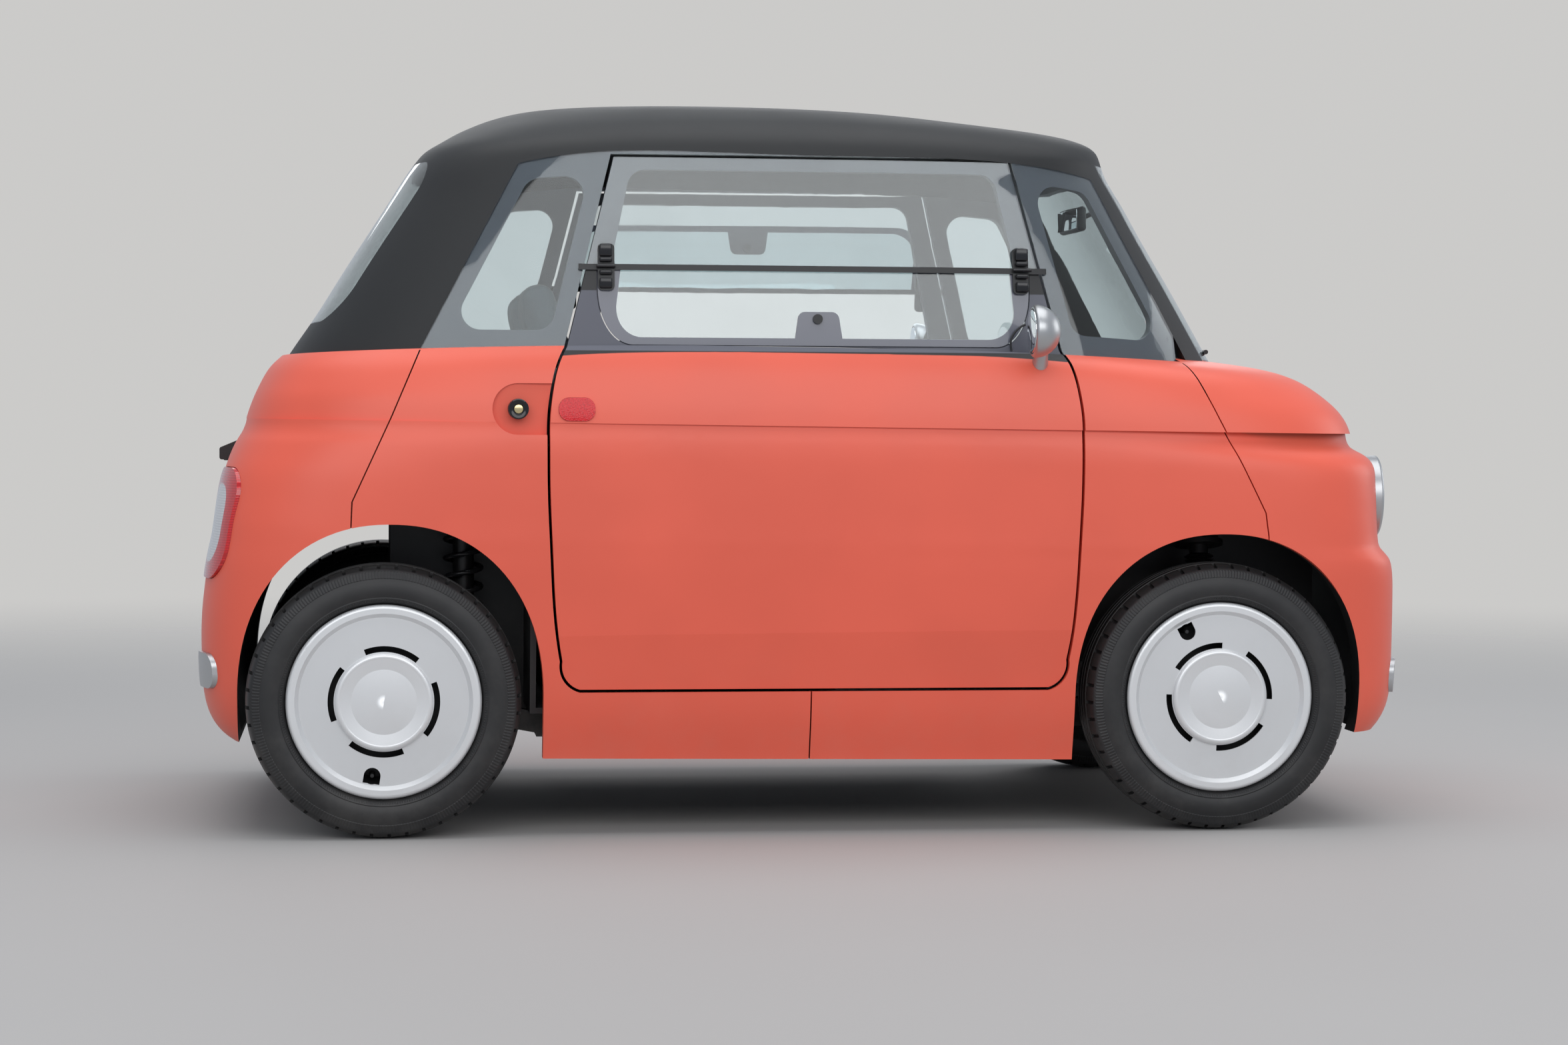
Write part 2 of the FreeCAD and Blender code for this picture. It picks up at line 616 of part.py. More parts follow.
pocket = {RIGHT: lock_pocket()}
door_centre = Vector(size("door_middle_x"), 0, 0)
turned = lock_pocket()
turned.rotate(door_centre, UP, 180)
pocket[LEFT] = turned
middle_shell = body_shell.cut([ahead_of_seam, behind_seam, door_hole])
split_x = size("sill_split_x")
sill_groove = block(split_x - size("seam_width") / 2, split_x + size("seam_width") / 2,
                    -wide, wide, -overrun, size("door_bottom")).cut(body_skin)
for name, side in SIDES:
    y0, y1 = (-wide, 0) if side == RIGHT else (0, wide)
    front_part = middle_shell.common(block(split_x, far, y0, y1, -overrun, height))
    rear_part = middle_shell.common(block(-far, split_x, y0, y1, -overrun, height))
    front_cuts = [grooves[0], sill_groove]
    rear_cuts = [grooves[1], sill_groove]
    if side == RIGHT:
        rear_cuts.append(pocket[side])
    else:
        front_cuts.append(pocket[side])
    publish("side_panel_front_%s" % name, front_part.cut(front_cuts))
    publish("side_panel_rear_%s" % name, rear_part.cut(rear_cuts))

# Lock barrels, standing on the floor of each pocket

barrel_length = size("pocket_depth") - size("lock_sunk")
barrel = Part.makeCylinder(size("lock_radius"), barrel_length,
                           Vector(lock_spot.x, -half_width + size("pocket_depth"), lock_spot.z),
                           Vector(0, -1, 0))
key_way = Part.makeCylinder(size("key_radius"), size("lock_sunk"),
                            Vector(lock_spot.x, -half_width + size("lock_sunk"), lock_spot.z),
                            Vector(0, -1, 0))
barrel = barrel.fuse(key_way)
other_barrel = barrel.copy()
other_barrel.rotate(door_centre, UP, 180)
publish("door_locks", Part.makeCompound([barrel, other_barrel]))

# Glasshouse: roof, rear cap, screen frame, panes and the frame behind them

rail_points = share_points(RAIL_LINE_SHARES)
cap_top = side_point(REAR_CAP_TOP_SHARE * half_length, height + overrun)
rear_pillar = share_points(REAR_PILLAR_SHARES)
pillar_inner = share_points(FRONT_PILLAR_INNER_SHARES)
pillar_outer = share_points(FRONT_PILLAR_OUTER_SHARES)
pane_low = size("waist_rear") - overrun


def run_down(upper, lower):
    """Carry a pillar line on, down below the waist."""
    reach = (lower.z - pane_low) / (upper.z - lower.z)
    return lower + (lower - upper) * reach


rear_foot = run_down(rear_pillar[1], rear_pillar[0])
inner_foot = run_down(pillar_inner[1], pillar_inner[0])
outer_foot = run_down(pillar_outer[1], pillar_outer[0])
header_front = side_point(far, pillar_outer[1].z + size("header_rise"))
roof_tall = height + overrun
right_half = block(-far, far, -wide, 0, 0, roof_tall)
left_half = block(-far, far, 0, wide, 0, roof_tall)

rail_edge = smooth_edge(rail_points)
above_rail = spread(Part.Wire([
    rail_edge,
    Part.makeLine(rail_points[-1], pillar_outer[1]),
    Part.makeLine(pillar_outer[1], header_front),
    Part.makeLine(header_front, side_point(far, roof_tall)),
    Part.makeLine(side_point(far, roof_tall), cap_top),
    Part.makeLine(cap_top, rail_points[0])]))
behind_cap = spread(polygon([cap_top, rail_points[0], rear_foot, side_point(-far, pane_low),
                             side_point(-far, roof_tall)]))
strip_form = spread(polygon([inner_foot, rail_points[-1], pillar_outer[1], outer_foot]))
side_form = spread(Part.Wire([
    rail_edge,
    Part.makeLine(rail_points[-1], inner_foot),
    Part.makeLine(inner_foot, rear_foot),
    Part.makeLine(rear_foot, rail_points[0])]))
screen_form = spread(polygon([outer_foot, pillar_outer[1], header_front, side_point(far, pane_low)]))

behind_cap = behind_cap.common(above_waist)
side_form = side_form.common(above_waist)


def front_view(half_low, half_top, z_low, z_top, radius, direction):
    """A window outline seen from the front or the rear, run through that end of the car."""
    corners = [Vector(0, -half_low, z_low), Vector(0, half_low, z_low),
               Vector(0, half_top, z_top), Vector(0, -half_top, z_top)]
    face = Part.Face(rounded(corners, radius))
    return face.extrude(Vector(direction * far, 0, 0))


screen_hole = front_view(size("screen_low_half"), size("screen_top_half"),
                         size("screen_low_z"), size("screen_top_z"), size("window_corner"), 1)
rear_hole = front_view(size("rear_glass_low_half"), size("rear_glass_top_half"),
                       size("rear_glass_low_z"), size("rear_glass_top_z"),
                       size("rear_glass_corner"), -1)

roof_halves = [thick_shell.common(half).common(above_rail) for half in (right_half, left_half)]
publish("roof_panel", roof_halves[0].fuse(roof_halves[1]).removeSplitter())
cap = thick_shell.common(behind_cap)
publish("rear_cap", cap.cut(rear_hole))
publish("rear_window", glass_shell.common(behind_cap).common(rear_hole))
publish("screen_pillars", thick_shell.common(strip_form).cut(body_trim))
publish("windscreen", glass_shell.common(screen_form).cut(body_trim))

# Door window and quarter window outlines

door_mid = size("door_middle_x")
waist_half = size("door_length") / 2 * DOOR_EDGE_SHARES[-1][1]
top_half = size("door_top_length") / 2
door_pane = [side_point(door_mid - waist_half, size("door_waist")),
             side_point(door_mid + waist_half, size("door_waist")),
             side_point(door_mid + top_half, size("door_top")),
             side_point(door_mid - top_half, size("door_top"))]
door_clear = shrunk(door_pane, size("door_glass_border"))
door_clear[0].z = door_clear[1].z = size("door_waist") + size("door_sill_border")
door_clear[2].z = door_clear[3].z = size("door_top") - size("door_head_border")
gap = size("door_gap")
front_quarter = [side_point(door_mid + waist_half + gap, size("door_waist")),
                 pillar_inner[0], rail_points[-1],
                 side_point(door_mid + top_half + gap, size("door_top"))]
rear_quarter = [rear_pillar[0],
                side_point(door_mid - waist_half - gap, size("door_waist")),
                side_point(door_mid - top_half - gap, size("door_top")), rail_points[0]]
quarter_border = size("quarter_glass_border")
quarter_holes = [spread(rounded(shrunk(front_quarter, quarter_border), size("window_corner"))),
                 spread(rounded(shrunk(rear_quarter, quarter_border), size("window_corner")))]
door_window_hole = spread(rounded(door_clear, size("window_corner")))

quarter_form = side_form.common(right_half).cut(door_hole)
quarter_glass = glass_shell.common(quarter_form)
publish("quarter_windows", pair(quarter_glass))
side_frame = frame_shell.common(quarter_form.cut(quarter_holes))
screen_frame = frame_shell.common(screen_form.cut(screen_hole)).cut(body_trim)
publish("window_frames", Part.makeCompound([side_frame, mirrored(side_frame), screen_frame]))

# Doors

bar_z = size("flap_bar_height")
bar_half_x = waist_half - size("bar_end_inset")
bar_form = block(door_mid - bar_half_x, door_mid + bar_half_x, -wide, wide,
                 bar_z - size("flap_bar_radius"), bar_z + size("flap_bar_radius"))
upper_side = block(-far, far, -wide, wide, bar_z, height)


def hinge_bracket(x):
    half = size("bracket_width") / 2
    tall = size("bracket_height") / 2
    corners = [side_point(x - half, bar_z - tall), side_point(x + half, bar_z - tall),
               side_point(x + half, bar_z + tall), side_point(x - half, bar_z + tall)]
    return spread(rounded(corners, half * BRACKET_ROUND_SHARE))


bracket_x = size("bracket_reach")
brackets = [hinge_bracket(door_mid - bracket_x), hinge_bracket(door_mid + bracket_x)]
latch_form = Part.makeCylinder(size("latch_radius"), wide,
                               Vector(size("latch_x"), -wide, size("latch_z")), Vector(0, 1, 0))


def flap_outline(grow):
    """The hinged pane, with large elliptical lower corners."""
    half = size("flap_half") + grow
    low = size("flap_low") - grow
    across = size("flap_corner_across") + grow
    up = size("flap_corner_up") + grow
    corners = []
    for side in (1, -1):
        points = []
        for share in FLAP_CORNER_SHARES:
            angle = math.radians(90) * share
            points.append(side_point(door_mid + side * (half - across + across * math.cos(angle)),
                                     low + up - up * math.sin(angle)))
        corners.append(points)
    ahead, behind = corners
    top_ahead = side_point(ahead[0].x, bar_z)
    top_behind = side_point(behind[0].x, bar_z)
    return Part.Wire([smooth_edge(ahead), Part.makeLine(ahead[-1], behind[-1]),
                      smooth_edge(list(reversed(behind))), Part.makeLine(behind[0], top_behind),
                      Part.makeLine(top_behind, top_ahead), Part.makeLine(top_ahead, ahead[0])])


latch = bar_shell.common(latch_form)
door_upper = door_form[RIGHT].common(above_waist)
door_skin = body_shell.common(door_form[RIGHT])
door_frame = frame_shell.common(door_upper.cut(door_window_hole))
door_shape = door_skin.fuse(door_frame)
upper_pane = glass_shell.common(door_upper.common(upper_side))
flap_gap = size("flap_gap")
below_bar = door_upper.common(block(-far, far, -wide, 0, pane_low, bar_z - flap_gap))
flap = glass_shell.common(below_bar.common(spread(flap_outline(0))))
corner_trims = glass_shell.common(below_bar.cut(spread(flap_outline(flap_gap))))
hardware = bar_shell.common(bar_form.fuse(brackets).common(right_half)).fuse(corner_trims)
tuck = Part.Face(polygon([Vector(0, -size("tuck_half"), size("tuck_height")),
                          Vector(0, -size("tuck_low_half"), size("door_bottom") - overrun),
                          Vector(0, -wide, size("door_bottom") - overrun),
                          Vector(0, -wide, size("tuck_height"))]))
tuck.translate(Vector(-half_length, 0, 0))
door_shape = door_shape.cut(tuck.extrude(Vector(2 * half_length, 0, 0)))


def reflector_form(grow):
    """A pill beside the door's free edge, level with the lock."""
    half_across = size("reflector_length") / 2 + grow
    half_up = size("reflector_height") / 2 + grow
    x = size("reflector_x")
    z = lock_spot.z
    outline = rounded([side_point(x - half_across, z - half_up), side_point(x + half_across, z - half_up),
                       side_point(x + half_across, z + half_up), side_point(x - half_across, z + half_up)],
                      size("reflector_corner") + grow)
    form = Part.Face(outline)
    form.translate(Vector(0, -wide, 0))
    return form.extrude(Vector(0, wide, 0))


reflector_skin = whole_body(-size("reflector_proud"), -size("reflector_proud"))
reflector_back = whole_body(size("reflector_sunk"), size("reflector_sunk"))
reflector_seat_depth = size("reflector_sunk") + size("frame_gap")
reflector_seat = whole_body(reflector_seat_depth, reflector_seat_depth)
reflector = reflector_form(0).common(reflector_skin).cut(reflector_back)
reflector_pocket = reflector_form(size("frame_gap")).cut(reflector_seat)
door_shapes = {RIGHT: door_shape.cut(reflector_pocket)}
far_pocket = reflector_pocket.copy()
far_pocket.rotate(door_centre, UP, 180)
door_shapes[LEFT] = mirrored(door_shape).cut(far_pocket)
fold_rear = Vector(door_mid - bracket_x, -size("fold_rear_y"), bar_z)
fold_front = Vector(door_mid + bracket_x, -size("fold_front_y"), bar_z)
fold_axis = (fold_rear - fold_front).normalize()
link_half = size("bracket_width") / 2 - size("frame_depth") / 4
links = []
for spot in (fold_rear, fold_front):
    links.append(block(spot.x - link_half, spot.x + link_half, spot.y - size("link_reach"),
                       spot.y + size("link_reach"), bar_z + size("flap_bar_radius"),
                       bar_z + size("link_height")))
for name, side in SIDES:
    shapes = [upper_pane, hardware, flap, latch]
    shapes = [shape.copy() for shape in shapes]
    if side == LEFT:
        for shape in shapes[2:]:
            shape.rotate(fold_rear, fold_axis, size("flap_fold_angle"))
        trimmed = [link.cut([shapes[0], shapes[2]]) for link in links]
        trimmed = [max(link.Solids, key=lambda solid: solid.Volume) for link in trimmed]
        shapes[1] = shapes[1].fuse(trimmed).removeSplitter()
        shapes = [mirrored(shape) for shape in shapes]
    publish("door_%s" % name, door_shapes[side])
    publish("door_window_%s" % name, shapes[0])
    publish("window_hinge_%s" % name, shapes[1])
    publish("window_flap_%s" % name, shapes[2])
    publish("flap_latch_%s" % name, shapes[3])
    spot = reflector.copy()
    if side == LEFT:
        spot.rotate(door_centre, UP, 180)
    publish("door_reflector_%s" % name, spot)

# Mirrors: a half dome on a short foot at the front corner of each door

mirror_radius = size("mirror_radius")
mirror_depth = size("mirror_depth")
mirror_rim = size("mirror_rim")


def mirror_head():
    dome_mid = Vector(mirror_depth * DOME_MID_SHARE, 0, mirror_radius * DOME_MID_SHARE)
    dome = Part.Arc(Vector(0, 0, mirror_radius), dome_mid, Vector(mirror_depth, 0, 0)).toShape()
    rim_low = Vector(-mirror_rim, 0, mirror_radius - mirror_rim)
    rim = Part.Arc(Vector(0, 0, mirror_radius),
                   Vector(-mirror_rim * DOME_MID_SHARE, 0, mirror_radius - mirror_rim * (1 - DOME_MID_SHARE)),
                   rim_low).toShape()
    glass_edge = Vector(0, 0, mirror_radius - mirror_rim)
    lines = Part.makePolygon([rim_low, glass_edge, ORIGIN, Vector(mirror_depth, 0, 0)])
    face = Part.Face(Part.Wire([rim, *lines.Edges, dome]))
    return face.revolve(ORIGIN, Vector(1, 0, 0), 360)


seat_gap = -size("frame_gap")
body_clear = whole_body(seat_gap, seat_gap)
house_clear = glasshouse(seat_gap, 0)
for name, side in SIDES:
    spot = Vector(size("mirror_x"), side * size("mirror_y"), size("mirror_z"))
    head = mirror_head()
    head.translate(spot)
    foot_start = Vector(spot.x + mirror_depth / 2, side * size("mirror_foot_y"), size("mirror_foot_z"))
    foot_end = spot + Vector(mirror_depth / 2, -side * mirror_radius * MIRROR_FOOT_SHARE, 0)
    run = foot_end - foot_start
    foot = Part.makeCone(size("mirror_foot_radius"), size("mirror_neck_radius"), run.Length,
                         foot_start, run)
    foot = foot.cut([body_clear, house_clear])
    foot = max(foot.Solids, key=lambda solid: solid.Volume)
    publish("mirror_%s" % name, head.fuse(foot))

# Lamps

lens_radius = headlamp_radius - size("bezel_width")
lens_front = size("lens_front")
housing = Part.makeCylinder(headlamp_radius, size("lamp_depth") + size("bezel_back"),
                            Vector(0, 0, -size("lamp_depth")))
bezel = Part.makeTorus(headlamp_radius - size("bezel_width") / 2, size("bezel_width") / 2,
                       Vector(0, 0, size("bezel_back")))
housing = housing.fuse(bezel)
bowl = Part.makeCylinder(lens_radius, size("lamp_depth"), Vector(0, 0, -size("bowl_depth")))
housing = housing.cut(bowl)
dome_radius = (lens_radius ** 2 + lens_front ** 2) / (2 * lens_front)
lens_seat = lens_radius - size("frame_gap")
lens = Part.makeCylinder(lens_seat, lens_front, Vector(0, 0, 0))
dome = Part.makeSphere(dome_radius, Vector(0, 0, lens_front - dome_radius))
lens = lens.common(dome)
lamps = []
lenses = []
for name, side in SIDES:
    for group, shape in ((lamps, housing), (lenses, lens)):
        placed = shape.copy()
        placed.Placement = lamp_place(side)
        group.append(placed)
publish("headlamp_housings", Part.makeCompound(lamps))
publish("headlamp_lenses", Part.makeCompound(lenses))
publish("tail_lamps", pair(tail_lamp))

# Bumper pads, a rounded one on each corner of the body

pad_outer = lower_body(-size("pad_proud"))
pad_inner = lower_body(size("pad_sunk"))
pads = [form.common(pad_outer).cut(pad_inner) for form in pad_forms(0)]
publish("bumper_pads", Part.makeCompound(pads + [mirrored(shape) for shape in pads]))

# Cover of the plate lamp, a lip across the tail

cover_low = size("plate_cover_low")
cover_top = size("plate_cover_top")
cover_x = -half_length + size("plate_cover_reach")
cover_outline = rounded([side_point(cover_x + overrun, cover_low), side_point(cover_x, cover_low),
                         side_point(cover_x, (cover_low + cover_top) / 2),
                         side_point(cover_x + overrun, cover_top)], size("lamp_proud"))
cover = Part.Face(cover_outline)
cover.translate(Vector(0, -size("plate_cover_half"), 0))
cover = cover.extrude(Vector(0, 2 * size("plate_cover_half"), 0)).cut(body_outer)
publish("plate_lamp_cover", max(cover.Solids, key=lambda solid: solid.Volume))

# Formulas: sums of named sizes, each with an optional factor, as "0.5 rim_width - rim_skin"


def terms(text):
    sign = 1
    factor = 1
    found = []
    for word in text.split():
        if word in ("+", "-"):
            sign = 1 if word == "+" else -1
        elif word[0].isdigit():
            factor = float(word)
        else:
            found.append((word, sign * factor))
            sign = 1
            factor = 1
    return found


def amount(text):
    return sum(size(alias) * factor for alias, factor in terms(text))


def bind(item, target, text):
    parts = ["%g * Sizes.%s" % (factor, alias) for alias, factor in terms(text)]
    item.setExpression(target, " + ".join(parts) if parts else "0")


def settle(item, x, y, z):
    bind(item, "Placement.Base.x", x)
    bind(item, "Placement.Base.y", y)
    bind(item, "Placement.Base.z", z)


def profile(body, label, plane, corners):
    """A closed profile in a body, every corner of it bound to named sizes."""
    sketch = body.newObject("Sketcher::SketchObject", label)
    base = [item for item in body.Origin.OriginFeatures if item.Role == plane][0]
    sketch.AttachmentSupport = (base, [""])
    sketch.MapMode = "FlatFace"
    spots = [Vector(amount(across), amount(up), 0) for across, up in corners]
    count = len(spots)
    for index in range(count):
        sketch.addGeometry(Part.LineSegment(spots[index], spots[(index + 1) % count]), False)
    for index in range(count):
        sketch.addConstraint(Sketcher.Constraint("Coincident", index, 2, (index + 1) % count, 1))
    for index, (across, up) in enumerate(corners):
        for kind, value, text in (("DistanceX", spots[index].x, across),
                                  ("DistanceY", spots[index].y, up)):
            if not terms(text):
                axis = -2 if kind == "DistanceX" else -1
                sketch.addConstraint(Sketcher.Constraint("PointOnObject", index, 1, axis))
                continue
            number = sketch.addConstraint(Sketcher.Constraint(kind, -1, 1, index, 1, value))
            bind(sketch, "Constraints[%d]" % number, text)
    return sketch


def turned_body(label, corners):
    """A profile in the YZ plane, turned about the Y axis."""
    body = doc.addObject("PartDesign::Body", label)
    sketch = profile(body, label + "_profile", "YZ_Plane", corners)
    feature = body.newObject("PartDesign::Revolution", label + "_turned")
    feature.Profile = sketch
    feature.ReferenceAxis = (sketch, ["H_Axis"])
    feature.Angle = 360
    sketch.Visibility = False
    return body


def drawn_body(label, corners, thickness):
    """A side view profile drawn out to both sides of its own plane."""
    body = doc.addObject("PartDesign::Body", label)
    sketch = profile(body, label + "_profile", "XZ_Plane", corners)
    feature = body.newObject("PartDesign::Pad", label + "_drawn")
    feature.Profile = sketch
    feature.Midplane = True
    bind(feature, "Length", thickness)
    return body


def bound_box(label, length, width, tall, x, y, z):
    item = doc.addObject("Part::Box", label)
    bind(item, "Length", length)
    bind(item, "Width", width)
    bind(item, "Height", tall)
    settle(item, x, y, z)
    return item


def joined(label, items):
    item = doc.addObject("Part::MultiFuse", label)
    item.Shapes = items
    return item


# Wheels. Profiles run along the axle, positive outboard, then out from it.

TYRE_CORNERS = [
    ("- 0.5 rim_width + rim_skin", "bead_radius"), ("- 0.5 tyre_width", "bulge_radius"),
    ("- shoulder_half", "tyre_radius - shoulder_drop"), ("- tread_half", "tyre_radius"),
    ("tread_half", "tyre_radius"), ("shoulder_half", "tyre_radius - shoulder_drop"),
    ("0.5 tyre_width", "bulge_radius"), ("0.5 rim_width - rim_skin", "bead_radius"),
]
RIM_CORNERS = [
    ("- hub_inner", "stub_radius + stub_clearance"), ("- hub_inner", "hub_radius"),
    ("rim_disc - rim_skin", "hub_radius"), ("rim_disc - rim_skin", "bead_radius - bead_drop - rim_skin"),
    ("- 0.25 rim_width", "bead_radius - bead_drop - rim_skin"),
    ("- 0.5 rim_width", "bead_radius - rim_skin"), ("- 0.5 rim_width - rim_skin", "rim_flange"),
    ("- 0.5 rim_width", "rim_flange"), ("- 0.5 rim_width + rim_skin", "bead_radius"),
    ("- 0.25 rim_width", "bead_radius"), ("- 0.18 rim_width", "bead_radius - bead_drop"),
    ("0.18 rim_width", "bead_radius - bead_drop"), ("0.25 rim_width", "bead_radius"),
    ("0.5 rim_width - rim_skin", "bead_radius"), ("0.5 rim_width", "rim_flange"),
    ("0.5 rim_width + rim_skin", "rim_flange"), ("0.5 rim_width", "bead_radius - rim_skin"),
    ("0.25 rim_width", "bead_radius - bead_drop - rim_skin"),
    ("rim_disc", "bead_radius - bead_drop - rim_skin"), ("rim_disc", "hub_radius"),
    ("hub_outer", "hub_radius"), ("hub_outer", "stub_radius + stub_clearance"),
]


def wheel_cover():
    """A stepped disc with a raised ring, a dished cap and slots round the cap."""
    skin = size("cover_skin")
    back = size("cover_back")
    plate = size("plate_axial")
    crest = back + size("cover_rise")
    outer = size("cover_radius")
    ring = size("ring_inner_radius")
    cap = size("cap_outer_radius")
    bevel = size("cover_bevel")

    def spot(axial, radius):
        return Vector(0, axial, radius)

    edge = spot(back + bevel, outer)
    crest_outer = spot(crest, outer - bevel)
    crest_inner = spot(crest, ring + bevel)
    lip = Part.Arc(edge, spot(crest - bevel * ARC_SAG_SHARE, outer - bevel * ARC_SAG_SHARE), crest_outer)
    plate_outer = spot(plate, ring)
    plate_inner = spot(plate, cap + bevel * ARC_SAG_SHARE)
    cap_edge = spot(size("cap_rise_axial") - bevel / 2, cap)
    cap_ring = spot(size("cap_rise_axial"), size("cap_ring_radius"))
    cap_mid = spot(size("cap_rise_axial") - bevel * ARC_SAG_SHARE / 2, cap - bevel * ARC_SAG_SHARE)
    dish = spot(size("cap_dish_axial"), size("cap_dish_radius"))
    dish_radius = size("cap_dish_radius")
    rise = size("cap_rise_axial") - size("cap_dish_axial")
    dome_radius = (dish_radius ** 2 + rise ** 2) / (2 * rise)
    fall = dome_radius - math.sqrt(dome_radius ** 2 - dish_radius ** 2 / 4)
    dome_mid = spot(size("cap_rise_axial") - fall, dish_radius / 2)
    dome = spot(size("cap_rise_axial"), 0)
    front = [lip.toShape(), Part.makeLine(crest_outer, crest_inner),
              Part.makeLine(crest_inner, plate_outer), Part.makeLine(plate_outer, plate_inner),
              Part.makeLine(plate_inner, spot(plate, cap)), Part.makeLine(spot(plate, cap), cap_edge),
              Part.Arc(cap_edge, cap_mid, cap_ring).toShape(), Part.makeLine(cap_ring, dish),
              Part.Arc(dish, dome_mid, dome).toShape()]
    back_points = [dome, spot(plate - skin, 0), spot(plate - skin, ring),
                   spot(back + skin / 2, ring + bevel), spot(back + skin, outer - bevel), edge]
    front += Part.makePolygon(back_points).Edges
    face = Part.Face(Part.Wire(Part.__sortEdges__(front)))
    return face.revolve(ORIGIN, Vector(0, 1, 0), 360)


def cover_slots():
    cuts = []
    inner = size("slot_inner_radius")
    count = int(size("slot_count"))
    for index in range(count):
        ring = Part.makeCylinder(inner + size("slot_width"), size("tyre_width"), ORIGIN,
                                 Vector(0, 1, 0), size("slot_sweep"))
        core = Part.makeCylinder(inner, size("tyre_width"), ORIGIN, Vector(0, 1, 0))
        slot = ring.cut(core)
        slot.rotate(ORIGIN, Vector(0, 1, 0), -size("slot_sweep") / 2 + index * 360 / count)
        cuts.append(slot)
    valve = size("valve_radius")
    place = size("valve_place_radius")
    hole = Part.makeCylinder(valve, size("tyre_width"), Vector(0, 0, place), Vector(0, 1, 0))
    mouth = block(-valve, valve, 0, size("tyre_width"), place, size("ring_inner_radius") - size("cover_skin"))
    cuts.append(hole.fuse(mouth))
    return cuts


cover_shape = wheel_cover().cut(cover_slots())
WHEELS = [(end, name, side) for end in ("front", "rear") for name, side in SIDES]
for end, name, side in WHEELS:
    axle_formula = "front_axle_x" if end == "front" else "front_axle_x - wheelbase"
    plane = "wheel_plane_y" if side == LEFT else "- wheel_plane_y"
    turn = Rotation(Vector(0, 1, 0), size(end + "_wheel_turn"))
    turn = turn.multiply(Rotation(UP, 0 if side == LEFT else 180))
    tyre = turned_body("tyre_%s_%s" % (end, name), TYRE_CORNERS)
    rim = turned_body("rim_%s_%s" % (end, name), RIM_CORNERS)
    cover = feature("cover_%s_%s" % (end, name), cover_shape.copy())
    for item in (tyre, rim, cover):
        item.Placement = Placement(ORIGIN, turn)
        settle(item, axle_formula, plane, "tyre_radius")
    keep(tyre, "tyre_%s_%s" % (end, name))
    wheel = joined("wheel_%s_%s" % (end, name), [rim, cover])
    keep(wheel, "wheel_%s_%s" % (end, name))

# Front suspension: each knuckle turns about the line from its lower ball to the strut's top

ball_gap = size("ball_gap")


def kingpin(side):
    low = Vector(front_axle_x, side * size("kingpin_low_y"), size("kingpin_low_z"))
    top = Vector(front_axle_x, side * size("kingpin_top_y"), size("kingpin_top_z"))
    return low, (top - low).normalize(), (top - low).Length


def along_kingpin(side, radius, start, end):
    low, direction, length = kingpin(side)
    return Part.makeCylinder(radius, end - start, low + direction * start, direction)


def across(radius, x, z, y0, y1, side):
    start = Vector(x, side * y0, z)
    return Part.makeCylinder(radius, y1 - y0, start, Vector(0, side, 0))


wheel_plane = size("wheel_plane_y")
hub_face = wheel_plane - size("hub_inner") - size("stub_end_gap")
stub_end = wheel_plane + size("hub_outer")
strut_start = size("strut_start")
for name, side in SIDES:
    boss = along_kingpin(side, size("ball_radius"), ball_gap, ball_gap + 2 * size("upright_thickness"))
    upright = along_kingpin(side, size("upright_radius"), ball_gap, strut_start - ball_gap)
    carrier = across(size("carrier_radius"), front_axle_x, axle_z, size("carrier_inner_y"), hub_face, side)
    stub = across(size("stub_radius"), front_axle_x, axle_z, size("carrier_inner_y"), stub_end, side)
    publish("front_knuckle_%s" % name, boss.fuse([upright, carrier, stub]).removeSplitter())


def lower_arm(side):
    low, direction, length = kingpin(side)
    thick = size("arm_thickness")
    eye = Part.makeCylinder(size("ball_radius"), thick, low - direction * thick, direction)
    inner = side * size("arm_inner_y")
    outer = side * size("kingpin_low_y")
    spread_x = size("arm_spread")
    near = size("ball_radius") * ARM_PLATE_SHARE
    z = low.z - thick
    corners = [Vector(front_axle_x - spread_x, inner, z), Vector(front_axle_x + spread_x, inner, z),
               Vector(front_axle_x + near, outer, z), Vector(front_axle_x - near, outer, z)]
    plate = Part.Face(polygon(corners)).extrude(Vector(0, 0, thick / 2))
    return plate.fuse(eye).removeSplitter()


def front_strut(side):
    low, direction, length = kingpin(side)
    top = length - size("tower_thickness")
    tube = along_kingpin(side, size("strut_radius"), strut_start, top)
    seat_place = strut_start + (top - strut_start) * SPRING_SEAT_SHARE
    seat = along_kingpin(side, size("spring_seat_radius"), seat_place, seat_place + size("strut_cap_thickness"))
    cap_start = top - size("strut_cap_thickness")
    cap = along_kingpin(side, size("strut_cap_radius"), cap_start, top)
    tower_plate = block(-far, far, -wide, wide, size("kingpin_top_z") - size("tower_thickness"), height)
    return tube.fuse([seat, cap]).cut(tower_plate).removeSplitter()


suspension = []
for name, side in SIDES:
    suspension += [lower_arm(side), front_strut(side)]
publish("front_suspension", Part.makeCompound(suspension))

# Rear suspension: trailing arms on a cross beam, with a damper on each side


def trailing_arm(side):
    half = size("rear_arm_height") / 2
    front_x = size("rear_pivot_x") - size("crossmember_width") / 2
    front_z = size("rail_z") + size("rail_height") / 2
    corners = [side_point(front_x, front_z - half), side_point(front_x, front_z + half),
               side_point(rear_axle_x, axle_z + half), side_point(rear_axle_x - half, axle_z),
               side_point(rear_axle_x, axle_z - half)]
    y = size("rear_arm_y") - size("rear_arm_width") / 2
    face = Part.Face(polygon(corners))
    face.translate(Vector(0, y, 0))
    arm = face.extrude(Vector(0, size("rear_arm_width"), 0))
    inner = size("rear_arm_y")
    carrier = across(size("carrier_radius"), rear_axle_x, axle_z, inner, hub_face, LEFT)
    stub = across(size("stub_radius"), rear_axle_x, axle_z, inner, stub_end, LEFT)
    arm = arm.fuse([carrier, stub])
    return arm if side == LEFT else mirrored(arm)


